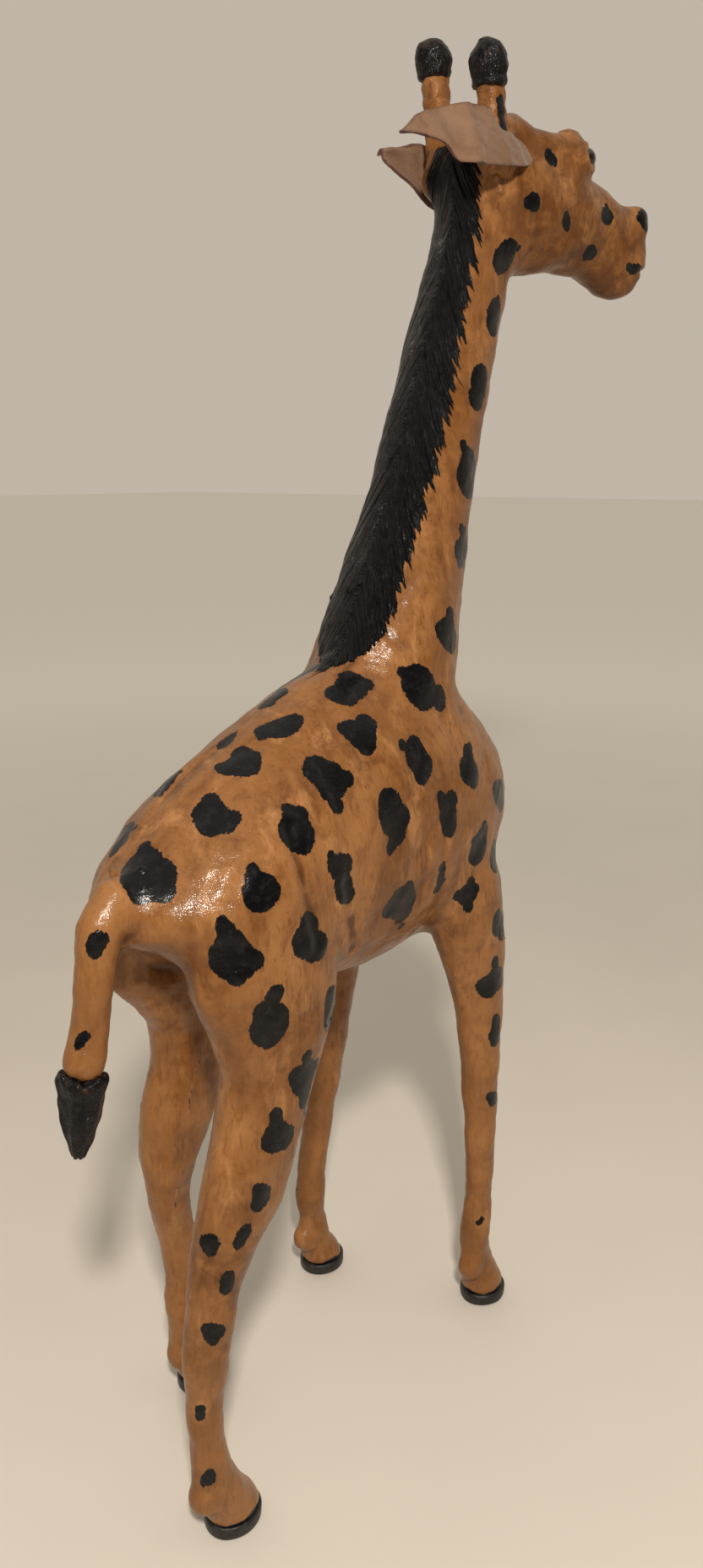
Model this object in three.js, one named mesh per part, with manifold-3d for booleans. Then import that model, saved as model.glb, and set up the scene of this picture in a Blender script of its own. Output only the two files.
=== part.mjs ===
// A leather-covered giraffe statue, 770 mm tall, standing on four carved legs. Carved wooden
// cores are pegged together, wrapped in thin leather panels, and finished with loose leather
// ears, glass eyes, black soles and a black tail tuft. Nothing on it moves.
// Millimetres, +Z up. The giraffe faces -Y, so its right side is at -X. The shapes are drawn
// about the body's middle plane; the last lines move the origin to the floor under the middle
// of the statue's box.
import * as THREE from "three";
import { mergeVertices } from "three/addons/utils/BufferGeometryUtils.js";
import Module from "manifold-3d";

const wasm = await Module();
wasm.setup();

// Driving dimensions
const SKIN = 1.6; // thickness of the body leather
const GAP = 0.3; // glue line between pieces
const SOLE_HEIGHT = 6.5;
const LEG_PEG_RADIUS = 5;
const HORN_PEG_RADIUS = 2.5;
const TAIL_WIRE_RADIUS = 1.5;
const EAR_HALF_THICKNESS = 0.9;
const EYE_RADIUS = 5.2;
const HORN_TIP_HEIGHT = 35; // where the black knob begins, above the horn's seat
const HEAD_TURN = THREE.MathUtils.degToRad(18); // the head looks a little to its right
const HEAD_ORIGIN_Y = -148; // the head's own frame starts on the neck's axis

// Outlines of the outer surface, each a list of cross-sections
const TORSO = [
  // x, y, z, half width, half height above, half height below
  [0, 147, 337, 12, 10, 12],
  [0, 138, 337, 30, 18, 14],
  [0, 121, 335, 46, 35, 23],
  [0, 96, 334, 56, 54, 38],
  [0, 64, 334, 59, 70, 59],
  [0, 30, 336, 58, 82, 71],
  [0, -5, 340, 58, 91, 81],
  [0, -40, 343, 60, 98, 84],
  [0, -75, 344, 60, 93, 81],
  [0, -105, 342, 55, 74, 72],
  [0, -132, 340, 46, 54, 57],
  [0, -149, 340, 29, 34, 34],
  [0, -158.5, 340, 10, 12, 10],
];

const NECK = [
  // x, y, z, half width, half depth at the front, half depth at the nape
  [0, -50, 380, 46, 46, 48],
  [0, -60, 420, 42, 50, 44],
  [0, -80, 471, 35, 41, 38],
  [0, -99, 517, 29, 33.5, 32],
  [0, -114, 564, 27, 30, 29],
  [0, -131, 611, 25.5, 28.5, 26],
  [0, -147, 655, 23, 29, 24],
  [0, -157, 690, 22, 25, 24],
  [0, -160, 710, 18, 18, 16],
];

const HEAD = [
  // distance along the nose, z, half width, half height above, half height below
  [-20, 703, 6, 8, 7],
  [-13, 701, 16, 20, 18],
  [-1, 697, 24, 31, 32],
  [20, 692, 28, 41, 46],
  [45, 688, 27, 40, 39],
  [70, 683, 24, 32, 30],
  [95, 677, 20, 29, 25],
  [114, 670, 19, 29, 26],
  [127, 670, 17.5, 25, 23],
  [136, 671, 12, 14, 14],
];

const LEGS = {
  // x, y, z, half width, half depth in front, half depth behind
  front_right: [
    [-51, -113, 2, 14.6, 16.4, 16],
    [-51, -111, 14, 13, 13, 14],
    [-51, -107, 29, 9, 9.5, 9.5],
    [-51, -101, 46, 9.6, 10.2, 10.5],
    [-51, -101, 62, 9.7, 10.5, 10.5],
    [-51, -103.5, 78, 9, 9.4, 9.4],
    [-51, -103.6, 118, 9.8, 10.8, 10.8],
    [-49, -106, 156, 11.2, 13, 13],
    [-47, -106, 195, 13, 15.8, 15.8],
    [-45.5, -103, 227, 15.5, 20, 20],
    [-44, -98.5, 255, 18.5, 25.5, 25.5],
    [-40, -92, 288, 21.5, 33, 32],
    [-34, -84, 330, 20, 30, 30],
  ],
  front_left: [
    [55, -72, 2, 14.7, 16.6, 16.2],
    [55, -70, 14, 13, 12.5, 14],
    [55, -65, 27, 9.2, 9, 10.4],
    [55, -62, 42, 8.8, 9.4, 10],
    [55, -60, 60, 10, 11, 11.5],
    [55, -61.5, 80, 9.8, 10.8, 10.8],
    [54.5, -68, 114, 9.8, 10.6, 10.6],
    [53, -73, 150, 11.4, 12.8, 12.8],
    [51, -76, 185, 13.2, 15.2, 15.2],
    [49, -78.5, 221, 16, 19.5, 19.5],
    [46, -80, 254, 18.5, 25.5, 25.5],
    [41, -81, 288, 21.5, 33, 32],
    [34, -81, 330, 20, 30, 30],
  ],
  hind_right: [
    [-37, 120, 2, 14.7, 16.6, 16.2],
    [-37, 123, 14, 13.2, 14.6, 14.4],
    [-37, 129, 27, 12, 12, 13.6],
    [-37, 134.5, 44, 10.4, 10.4, 12],
    [-37, 137.5, 62, 9, 9.6, 9.6],
    [-37, 137.8, 88, 9.2, 10.2, 10.2],
    [-37, 136, 112, 11, 13.2, 13.2],
    [-37, 129.5, 145, 12, 14.5, 14.5],
    [-37, 120, 168, 14.6, 19.5, 19.5],
    [-37, 106, 188, 18, 26.5, 27],
    [-37, 94.6, 217, 19, 28, 28],
    [-37, 85, 246, 21.2, 31, 30],
    [-37, 82, 275, 25.5, 42, 38],
    [-35, 84, 300, 27, 50, 48],
    [-31, 82, 340, 26, 46, 44],
  ],
  hind_left: [
    [45, 58, 2, 14.7, 16.6, 16.2],
    [45, 60, 14, 13.2, 14.6, 14.4],
    [45, 66.5, 27, 11.6, 12, 11.4],
    [45, 70.5, 44, 10, 11, 10.6],
    [45, 72.5, 62, 9.5, 10.6, 11.2],
    [45, 72, 84, 9, 9.8, 9.8],
    [45, 74, 108, 10, 11.5, 11.5],
    [44, 80.5, 142, 11.2, 13.2, 13.2],
    [43, 79.5, 168, 14.5, 20, 20],
    [42, 73, 192, 17.2, 25.2, 25.2],
    [41, 62, 217, 18.5, 27, 27],
    [40, 57, 246, 21.2, 31, 32],
    [38, 60, 275, 25.5, 42, 44],
    [36, 70, 300, 27, 50, 54],
    [31, 80, 340, 26, 46, 46],
  ],
};

const TAIL = [
  // from inside the rump down to the tuft
  [0, 126, 350, 11, 12, 10],
  [0, 145, 348, 12, 13, 12],
  [0, 157, 337, 10.5, 10, 11],
  [0, 160, 318, 9.4, 8.6, 9.4],
  [0, 163, 298, 9.2, 8.6, 9],
  [0, 168, 280, 9.6, 9, 9.4],
  [0, 171, 270, 10, 9.6, 9.6],
];

const TUFT = [
  [0, 171.4, 268.8, 11, 10.4, 11],
  [0, 173, 262, 10.6, 10.2, 10.6],
  [0, 175, 248, 7.4, 7, 7.2],
  [0, 176, 236, 4.2, 4, 4.2],
  [0, 176.4, 230, 1.6, 1.6, 1.6],
];

const HORN_PROFILE = [
  // radius, height above the seat
  [0, 0],
  [8.6, 0],
  [7.6, 12],
  [7.2, 24],
  [8.2, 32],
  [9.8, 41],
  [9.8, 49],
  [7.6, 56],
  [4.2, 60],
  [0, 61],
];

// The ears sweep back beside the head; the left one hangs a little lower and is shorter.
const EARS = {
  // distance along the nose, distance to the head's right, z, half width
  right: [
    [24, 23, 709.5, 7],
    [8, 31, 711.5, 12],
    [-10, 35, 712.5, 16],
    [-30, 34, 712, 15],
    [-46, 30, 712, 9],
    [-60, 26, 711, 2],
  ],
  left: [
    [25, -24, 708, 7],
    [11, -33, 706, 12],
    [-5, -35, 704, 15],
    [-21, -34, 703, 15],
    [-35, -31, 706, 10],
    [-43, -28, 710, 3],
  ],
};

// Each horn runs from its seat, inside the scalp, to the top of its knob.
const HORNS = {
  right: { seat: [0, 20, 701], top: [-10, 22, 761] },
  left: { seat: [-7, -19, 710], top: [-15, -20, 770] },
};

// Materials
const finish = (color, roughness, metalness = 0) =>
  new THREE.MeshStandardMaterial({ color, roughness, metalness });
const TAN_LEATHER = finish(0xb9743a, 0.45);
const RAW_LEATHER = finish(0x9a7257, 0.8);
const BLACK_PAINT = finish(0x101010, 0.4);
const CARVED_WOOD = finish(0xc9a878, 0.8);
const PEG_WOOD = finish(0xd8c199, 0.75);
const EYE_GLASS = finish(0x0b0d0b, 0.1);
const STEEL_WIRE = finish(0x9a9ca0, 0.4, 0.9);

// Solids
function solidOf(geometry) {
  const bare = new THREE.BufferGeometry();
  bare.setAttribute("position", geometry.getAttribute("position"));
  bare.setIndex(geometry.index);
  const merged = mergeVertices(bare, 1e-4);
  return new wasm.Manifold(
    new wasm.Mesh({
      numProp: 3,
      vertProperties: merged.attributes.position.array,
      triVerts: new Uint32Array(merged.index.array),
    }),
  );
}

const union = (solids) => solids.reduce((all, next) => all.add(next));

// The centre of each ring and its three half sizes, as two smooth curves through the stations
function smooth(stations) {
  const curve = (pick) => new THREE.CatmullRomCurve3(stations.map(pick), false, "catmullrom");
  return {
    path: curve(([x, y, z]) => new THREE.Vector3(x, y, z)),
    sizes: curve(([, , , side, over, under]) => new THREE.Vector3(side, over, under)),
  };
}

const LEFT = new THREE.Vector3(1, 0, 0);
const RIGHT = new THREE.Vector3(-1, 0, 0);

// A closed limb through its cross-sections. inset draws the same limb smaller all round, for a
// core or the inside of its leather; ends is the length over which its two ends draw back too;
// cup bends a flat limb's edges over, as an ear's leather is bent.
function limb(stations, { sides, inset = 0, drawBack = true, cup = 0, sideways = LEFT }) {
  const { path, sizes } = smooth(stations);
  const rings = stations.length - 1;
  const margin = drawBack ? Math.max(inset, 0) / path.getLength() : 0;
  const points = [];
  for (let ring = 0; ring <= rings; ring++) {
    const t = ring / rings;
    const along = path.getTangent(t);
    const centre = path.getPoint(margin + (1 - 2 * margin) * t);
    const size = sizes.getPoint(t).subScalar(inset);
    const side = sideways.clone().addScaledVector(along, -along.dot(sideways)).normalize();
    const over = new THREE.Vector3().crossVectors(along, side);
    for (let k = 0; k < sides; k++) {
      const angle = (2 * Math.PI * k) / sides;
      const depth = Math.cos(angle) > 0 ? size.y : size.z;
      const bend = cup * size.x * Math.sin(angle) ** 2;
      const point = centre.clone().addScaledVector(side, size.x * Math.sin(angle));
      points.push(point.addScaledVector(over, depth * Math.cos(angle) - bend));
    }
  }
  points.push(path.getPoint(margin), path.getPoint(1 - margin));
  const start = points.length - 2;
  const at = (ring, k) => ring * sides + (k % sides);
  const faces = [];
  for (let k = 0; k < sides; k++) {
    faces.push(start, at(0, k), at(0, k + 1));
    faces.push(start + 1, at(rings, k + 1), at(rings, k));
    for (let ring = 0; ring < rings; ring++) {
      faces.push(at(ring, k), at(ring + 1, k + 1), at(ring, k + 1));
      faces.push(at(ring, k), at(ring + 1, k), at(ring + 1, k + 1));
    }
  }
  const geometry = new THREE.BufferGeometry().setFromPoints(points);
  geometry.setIndex(faces);
  return solidOf(geometry);
}

function ellipsoid([x, y, z], [rx, ry, rz], turn = 0) {
  const geometry = new THREE.SphereGeometry(1, 10, 7);
  geometry.scale(rx, ry, rz);
  geometry.rotateX(Math.PI / 2);
  geometry.rotateZ(turn);
  geometry.translate(x, y, z);
  return solidOf(geometry);
}

// A round peg between two points; grow makes the hole it sits in
function peg([from, to, radius], grow = 0) {
  const start = new THREE.Vector3(...from);
  const end = new THREE.Vector3(...to);
  const axis = end.clone().sub(start);
  const geometry = new THREE.CylinderGeometry(radius + grow, radius + grow, axis.length() + 2 * grow, 12);
  const up = new THREE.Vector3(0, 1, 0);
  geometry.applyQuaternion(new THREE.Quaternion().setFromUnitVectors(up, axis.normalize()));
  geometry.translate(...start.add(end).multiplyScalar(0.5));
  return solidOf(geometry);
}

// A region of space with a straight outline in the side view, between two x positions
function region(outline, x0, x1) {
  const shape = new THREE.Shape(outline.map(([y, z]) => new THREE.Vector2(y, z)));
  const geometry = new THREE.ExtrudeGeometry(shape, { depth: x1 - x0, bevelEnabled: false });
  const sideView = new THREE.Matrix4().makeBasis(
    new THREE.Vector3(0, 1, 0),
    new THREE.Vector3(0, 0, 1),
    new THREE.Vector3(1, 0, 0),
  );
  geometry.applyMatrix4(sideView);
  geometry.translate(x0, 0, 0);
  return geometry;
}

function grown(geometry) {
  geometry.computeBoundingBox();
  const centre = geometry.boundingBox.getCenter(new THREE.Vector3());
  const size = geometry.boundingBox.getSize(new THREE.Vector3());
  const larger = geometry.clone().translate(-centre.x, -centre.y, -centre.z);
  larger.scale(1 + (2 * GAP) / size.x, 1 + (2 * GAP) / size.y, 1 + (2 * GAP) / size.z);
  return larger.translate(centre.x, centre.y, centre.z);
}

// The head's own frame: along the nose, to the head's right, and up
const headPoint = (along, right, z) => [
  -along * Math.sin(HEAD_TURN) - right * Math.cos(HEAD_TURN),
  HEAD_ORIGIN_Y - along * Math.cos(HEAD_TURN) + right * Math.sin(HEAD_TURN),
  z,
];
const headDirection = (along, right, z) =>
  new THREE.Vector3(...headPoint(along, right, z)).sub(new THREE.Vector3(...headPoint(0, 0, 0)));

// The outer surface, or the same surface drawn in by inset
function head(inset) {
  const stations = HEAD.map(([along, z, ...sizes]) => [...headPoint(along, 0, z), ...sizes]);
  const bumps = [-1, 1].flatMap((side) => [
    ellipsoid(headPoint(60, 15 * side, 711), [12 - inset, 20 - inset, 15 - inset], -HEAD_TURN),
    ellipsoid(headPoint(126, 9 * side, 687), [8 - inset, 11 - inset, 11 - inset], -HEAD_TURN),
  ]);
  return union([limb(stations, { sides: 14, inset, sideways: headDirection(0, -1, 0) }), ...bumps]);
}

const leg = (name, inset) => limb(LEGS[name], { sides: 10, inset, drawBack: false, sideways: RIGHT });
const torso = (inset) => limb(TORSO, { sides: 18, inset });

function body(inset) {
  const legs = Object.keys(LEGS).map((name) => leg(name, inset));
  return union([torso(inset), limb(NECK, { sides: 14, inset, sideways: RIGHT }), head(inset), ...legs]);
}

const outside = body(0);
const lining = body(SKIN);
const cores = body(SKIN + GAP);

// Where the leather panels and the wooden cores meet, seen from the side. The legs end at the
// armpit and the groin, the neck at the withers, and the head behind the jaw.
const FRONT_LEG = [[-170, SOLE_HEIGHT], [-170, 260], [-20, 257], [-20, SOLE_HEIGHT]];
const HIND_LEG = [[0, SOLE_HEIGHT], [0, 254], [64, 270], [138, 304], [200, 304], [200, SOLE_HEIGHT]];
const NECK_REGION = [[0, 496], [-64, 738], [-330, 532], [-150, 410]];
const HEAD_REGION = [[-64, 738], [-64, 800], [-330, 800], [-330, 532]];
const UNDER_BELLY = [[-150, 200], [-150, 300], [110, 300], [110, 200]];
const BELLY_HALF_WIDTH = 44;
const REGIONS = {
  front_right_leg: region(FRONT_LEG, -100, -14),
  front_left_leg: region(FRONT_LEG, 14, 100),
  hind_right_leg: region(HIND_LEG, -100, -7),
  hind_left_leg: region(HIND_LEG, 7, 100),
  neck: region(NECK_REGION, -80, 80),
  head: region(HEAD_REGION, -160, 160),
};
const belly = region(UNDER_BELLY, -BELLY_HALF_WIDTH, BELLY_HALF_WIDTH);

// Pegs that hold the cores together, and the wire that stiffens the tail
const PEGS = {
  front_right_leg_peg: [[-45, -101, 232], [-40, -92, 300], LEG_PEG_RADIUS],
  front_left_leg_peg: [[47, -79, 232], [41, -80, 300], LEG_PEG_RADIUS],
  hind_right_leg_peg: [[-37, 84, 240], [-33, 80, 325], LEG_PEG_RADIUS],
  hind_left_leg_peg: [[40, 58, 240], [34, 74, 325], LEG_PEG_RADIUS],
  neck_peg: [[0, -96, 498], [0, -60, 415], 1.4 * LEG_PEG_RADIUS],
  head_peg: [[0, -143, 640], [0, -160, 705], LEG_PEG_RADIUS],
};
const SIDES = { right: 1, left: -1 };

// The peg runs up the middle of the horn, from the skull to just under the black knob.
function hornPeg(name) {
  const seat = new THREE.Vector3(...headPoint(...HORNS[name].seat));
  const axis = new THREE.Vector3(...headPoint(...HORNS[name].top)).sub(seat).normalize();
  const at = (height) => seat.clone().addScaledVector(axis, height).toArray();
  return [at(-14), at(HORN_TIP_HEIGHT - 2), HORN_PEG_RADIUS];
}
for (const name of Object.keys(SIDES)) PEGS[`${name}_horn_peg`] = hornPeg(name);

const TAIL_WIRE = new THREE.CatmullRomCurve3(
  [[0, 100, 338], [0, 126, 346], [0, 146, 346], [0, 157, 334], [0, 161, 310], [0, 167, 284]].map(
    (point) => new THREE.Vector3(...point),
  ),
);
function wire(radius) {
  const circle = new THREE.Shape().absarc(0, 0, radius, 0, 2 * Math.PI);
  return solidOf(
    new THREE.ExtrudeGeometry(circle, {
      steps: 14,
      curveSegments: 4,
      bevelEnabled: false,
      extrudePath: TAIL_WIRE,
    }),
  );
}

// A horn stands on its seat and leans back; its black knob is a separate cap above the stem.
function horn(name) {
  const base = new THREE.Vector3(...headPoint(...HORNS[name].seat));
  const axis = new THREE.Vector3(...headPoint(...HORNS[name].top)).sub(base).normalize();
  const lean = new THREE.Quaternion().setFromUnitVectors(new THREE.Vector3(0, 1, 0), axis);
  const upright = new THREE.LatheGeometry(HORN_PROFILE.map(([r, h]) => new THREE.Vector2(r, h)), 12);
  const whole = solidOf(upright.applyQuaternion(lean).translate(...base));
  const cut = (from, to) => {
    const slice = new THREE.CylinderGeometry(30, 30, to - from, 8);
    slice.translate(0, (from + to) / 2, 0);
    return whole.intersect(solidOf(slice.applyQuaternion(lean).translate(...base)));
  };
  return { stem: cut(0, HORN_TIP_HEIGHT - GAP), knob: cut(HORN_TIP_HEIGHT, 80) };
}

function ear(name) {
  const stations = EARS[name].map(([along, right, z, half]) => [
    ...headPoint(along, right, z),
    half,
    EAR_HALF_THICKNESS,
    EAR_HALF_THICKNESS,
  ]);
  const upright = headDirection(0, -0.2 * SIDES[name], 0.98);
  return limb(stations, { sides: 14, cup: 0.3 * SIDES[name], sideways: upright });
}

// Assembly
const statue = new THREE.Group();

function add(name, solid, material) {
  const [largest] = solid.decompose().sort((a, b) => b.volume() - a.volume());
  const { vertProperties, triVerts } = largest.getMesh();
  const geometry = new THREE.BufferGeometry();
  geometry.setAttribute("position", new THREE.BufferAttribute(vertProperties, 3));
  geometry.setIndex(new THREE.BufferAttribute(triVerts, 1));
  geometry.computeVertexNormals();
  const mesh = new THREE.Mesh(geometry, material);
  mesh.name = name;
  statue.add(mesh);
}

// The floor side of the legs is cut flat, just above the soles.
const belowSoles = solidOf(region([[-400, -40], [-400, SOLE_HEIGHT + GAP], [400, SOLE_HEIGHT + GAP], [400, -40]], -200, 200));
const pegHoles = union(Object.values(PEGS).map((size) => peg(size, GAP)));
const wireHole = wire(TAIL_WIRE_RADIUS + GAP);
const eye = (name, grow = 0) =>
  ellipsoid(headPoint(75, 18 * SIDES[name], 711), Array(3).fill(EYE_RADIUS + grow));
const eyeSockets = eye("right", GAP).add(eye("left", GAP));
const hornPegHoles = peg(hornPeg("right"), GAP).add(peg(hornPeg("left"), GAP));

const fittings = union([belowSoles, wireHole, eyeSockets, hornPegHoles]);
let leather = outside.subtract(lining).subtract(fittings);
let wood = cores.subtract(fittings).subtract(pegHoles);
for (const [name, space] of Object.entries(REGIONS)) {
  add(`${name}_leather`, leather.intersect(solidOf(space)), TAN_LEATHER);
  add(`${name}_core`, wood.intersect(solidOf(space)), CARVED_WOOD);
  leather = leather.subtract(solidOf(grown(space)));
  wood = wood.subtract(solidOf(grown(space)));
}
add("belly_leather", leather.intersect(solidOf(belly)), TAN_LEATHER);
add("torso_leather", leather.subtract(solidOf(grown(belly))), TAN_LEATHER);
add("torso_core", wood, CARVED_WOOD);
for (const [name, size] of Object.entries(PEGS)) add(name, peg(size), PEG_WOOD);

for (const [name, [[x, y]]] of Object.entries(LEGS)) {
  const sole = new THREE.CylinderGeometry(1, 1, SOLE_HEIGHT, 18).rotateX(Math.PI / 2);
  sole.scale(14.8, 16.4, 1).translate(x, y, SOLE_HEIGHT / 2);
  add(`${name}_sole`, solidOf(sole), BLACK_PAINT);
}

const rump = torso(-GAP);
const tail = (inset) => limb(TAIL, { sides: 10, inset });
add("tail_leather", tail(0).subtract(tail(SKIN)).subtract(rump), TAN_LEATHER);
add("tail_core", tail(SKIN + GAP).subtract(rump).subtract(wireHole), CARVED_WOOD);
add("tail_wire", wire(TAIL_WIRE_RADIUS), STEEL_WIRE);
add("tail_tuft", limb(TUFT, { sides: 10 }), BLACK_PAINT);

const scalp = head(-GAP);
for (const name of Object.keys(SIDES)) {
  const { stem, knob } = horn(name);
  add(`${name}_horn`, stem.subtract(scalp).subtract(hornPegHoles), TAN_LEATHER);
  add(`${name}_horn_tip`, knob, BLACK_PAINT);
  add(`${name}_ear`, ear(name).subtract(scalp), RAW_LEATHER);
  add(`${name}_eye`, eye(name), EYE_GLASS);
}

// The origin goes to the floor under the middle of the box.
const middle = new THREE.Box3().setFromObject(statue).getCenter(new THREE.Vector3());
for (const mesh of statue.children) mesh.geometry.translate(-middle.x, -middle.y, 0);

export default statue;
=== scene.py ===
"""A leather-covered giraffe statue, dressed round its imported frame."""
import math

import bpy
import mathutils.bvhtree
import mathutils.kdtree
import numpy as np
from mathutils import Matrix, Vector


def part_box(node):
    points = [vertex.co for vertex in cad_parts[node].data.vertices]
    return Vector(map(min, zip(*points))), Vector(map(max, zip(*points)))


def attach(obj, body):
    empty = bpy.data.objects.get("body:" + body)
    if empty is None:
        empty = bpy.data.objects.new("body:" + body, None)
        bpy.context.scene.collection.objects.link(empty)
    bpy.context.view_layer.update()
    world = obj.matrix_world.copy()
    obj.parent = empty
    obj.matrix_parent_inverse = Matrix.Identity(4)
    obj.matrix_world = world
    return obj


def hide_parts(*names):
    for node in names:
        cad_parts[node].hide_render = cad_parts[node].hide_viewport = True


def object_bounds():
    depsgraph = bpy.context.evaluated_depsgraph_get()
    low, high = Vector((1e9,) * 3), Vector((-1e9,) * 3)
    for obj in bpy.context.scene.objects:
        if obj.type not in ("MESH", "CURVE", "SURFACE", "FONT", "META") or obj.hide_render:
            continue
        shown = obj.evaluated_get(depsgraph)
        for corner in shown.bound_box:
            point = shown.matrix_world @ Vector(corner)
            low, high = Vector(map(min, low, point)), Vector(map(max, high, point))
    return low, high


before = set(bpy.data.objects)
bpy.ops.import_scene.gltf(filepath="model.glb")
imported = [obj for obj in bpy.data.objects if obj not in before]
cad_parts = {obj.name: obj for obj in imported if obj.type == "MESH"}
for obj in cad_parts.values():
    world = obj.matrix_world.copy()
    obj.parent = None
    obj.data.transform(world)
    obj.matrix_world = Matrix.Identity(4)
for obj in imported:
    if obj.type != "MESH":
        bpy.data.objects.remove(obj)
CAD_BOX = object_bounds()

# ---------------------------------------------------------------- measures
# The maker's drawing is in millimetres, from a point between the feet. The front right sole
# says where that point stands.
FRONT_RIGHT_SOLE = (-0.051, -0.113)     # its middle in the drawing, in metres
low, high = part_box("front_right_sole")
STAND = Vector(((low.x + high.x) / 2 - FRONT_RIGHT_SOLE[0], (low.y + high.y) / 2 - FRONT_RIGHT_SOLE[1], 0.0))
HEAD_TURN_DEGREES = 18
HEAD_TURN = math.radians(HEAD_TURN_DEGREES)
HEAD_PIVOT_Y = -148
LEGS = ("front_right", "front_left", "hind_right", "hind_left")

VOXEL = 0.002                  # how fine the stretched skin is, in metres
LEATHER_THICKNESS = 0.0014
EAR_THICKNESS = 0.0017
SMOOTHING_ROUNDS = 150
RING_STEP = 1.2                # between the rings of a turned piece, in millimetres


def at(x, y, z):
    """A point of the maker's drawing, in metres in the frame."""
    return STAND + Vector((x, y, z)) / 1000


def on_head(along, right, z):
    """A point of the turned head: along the nose, towards its right side, and up."""
    s, c = math.sin(HEAD_TURN), math.cos(HEAD_TURN)
    return at(-along * s - right * c, HEAD_PIVOT_Y - along * c + right * s, z)


# ---------------------------------------------------------------- bench helpers
def clear():
    if bpy.context.object and bpy.context.object.mode != "OBJECT":
        bpy.ops.object.mode_set(mode="OBJECT")
    bpy.ops.object.select_all(action="DESELECT")


def take(piece):
    clear()
    piece.select_set(True)
    bpy.context.view_layer.objects.active = piece
    return piece


def edit(piece, chosen="VERT"):
    take(piece)
    bpy.ops.object.mode_set(mode="EDIT")
    bpy.ops.mesh.select_mode(type=chosen)


def done():
    bpy.ops.object.mode_set(mode="OBJECT")


def pick(piece, chosen, kind="VERT"):
    """Opens the piece for editing with only the chosen corners or faces selected."""
    edit(piece, kind)
    bpy.ops.mesh.select_all(action="DESELECT")
    done()
    (piece.data.vertices if kind == "VERT" else piece.data.polygons).foreach_set("select", chosen)
    edit(piece, kind)


def face_outwards():
    """Turns every face of the piece being edited outwards."""
    bpy.ops.mesh.select_all(action="SELECT")
    bpy.ops.mesh.normals_make_consistent(inside=False)


def freeze(piece):
    """The piece's place goes into its mesh."""
    take(piece)
    bpy.ops.object.transform_apply(location=True, rotation=True, scale=True)
    return piece


def fit(piece, kind, **values):
    take(piece)
    m = piece.modifiers.new(kind.lower(), kind)
    for name, value in values.items():
        setattr(m, name, value)
    bpy.ops.object.modifier_apply(modifier=m.name)


def copy_of(node):
    """A loose copy of a CAD node, with its doubled corners merged."""
    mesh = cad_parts[node].data.copy()
    piece = bpy.data.objects.new("copy_" + node, mesh)
    bpy.context.scene.collection.objects.link(piece)
    mesh.materials.clear()
    edit(piece)
    bpy.ops.mesh.select_all(action="SELECT")
    bpy.ops.mesh.remove_doubles(threshold=1e-6)
    done()
    return piece


def join(pieces, name):
    clear()
    for p in pieces:
        p.select_set(True)
    bpy.context.view_layer.objects.active = pieces[0]
    bpy.ops.object.join()
    pieces[0].name = name
    pieces[0].data.name = name
    return pieces[0]


def lump(middle, radii, turn=(0, 0, 0)):
    """A pad of filler under the leather, as an egg of these radii in millimetres."""
    clear()
    bpy.ops.mesh.primitive_uv_sphere_add(segments=28, ring_count=18, radius=0.001, location=middle)
    piece = bpy.context.object
    piece.scale = radii
    piece.rotation_euler = [math.radians(t) for t in turn]
    return freeze(piece)


def points_of(piece):
    co = np.empty(len(piece.data.vertices) * 3)
    piece.data.vertices.foreach_get("co", co)
    return co.reshape(-1, 3)


def set_points(piece, co):
    piece.data.vertices.foreach_set("co", np.asarray(co, np.float32).ravel())
    piece.data.update()


def normals_of(piece):
    n = np.empty(len(piece.data.vertices) * 3)
    piece.data.vertices.foreach_get("normal", n)
    return n.reshape(-1, 3)


def edges_of(piece):
    e = np.empty(len(piece.data.edges) * 2, int)
    piece.data.edges.foreach_get("vertices", e)
    return e.reshape(-1, 2)


def face_centres(piece):
    centre = np.empty(len(piece.data.polygons) * 3)
    piece.data.polygons.foreach_get("center", centre)
    return centre.reshape(-1, 3)


def relax(values, edges, steps, strength):
    """Evens out values over the mesh. strength is one number for each corner."""
    values = values.astype(float)
    flat = values.ndim == 1
    if flat:
        values = values[:, None]
    a = np.concatenate([edges[:, 0], edges[:, 1]])
    b = np.concatenate([edges[:, 1], edges[:, 0]])
    count = np.maximum(np.bincount(a, minlength=len(values)), 1)
    for _ in range(steps):
        mean = np.stack([np.bincount(a, values[b, k], len(values)) for k in range(values.shape[1])], 1)
        values = values + strength[:, None] * (mean / count[:, None] - values)
    return values[:, 0] if flat else values


def attribute(piece, name, values):
    a = piece.data.attributes.get(name) or piece.data.attributes.new(name, "FLOAT", "POINT")
    a.data.foreach_set("value", np.asarray(values, np.float32))


def ramp(x, low, high):
    t = np.clip((x - low) / (high - low), 0, 1)
    return t * t * (3 - 2 * t)


def line_gap(co, line):
    """How far each point is from a line of points."""
    best = np.full(len(co), 1e9)
    for p, q in zip(line[:-1], line[1:]):
        p, q = np.array(p), np.array(q)
        d = q - p
        t = np.clip((co - p) @ d / max(d @ d, 1e-12), 0, 1)
        best = np.minimum(best, np.linalg.norm(co - p - t[:, None] * d, axis=1))
    return best


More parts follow.
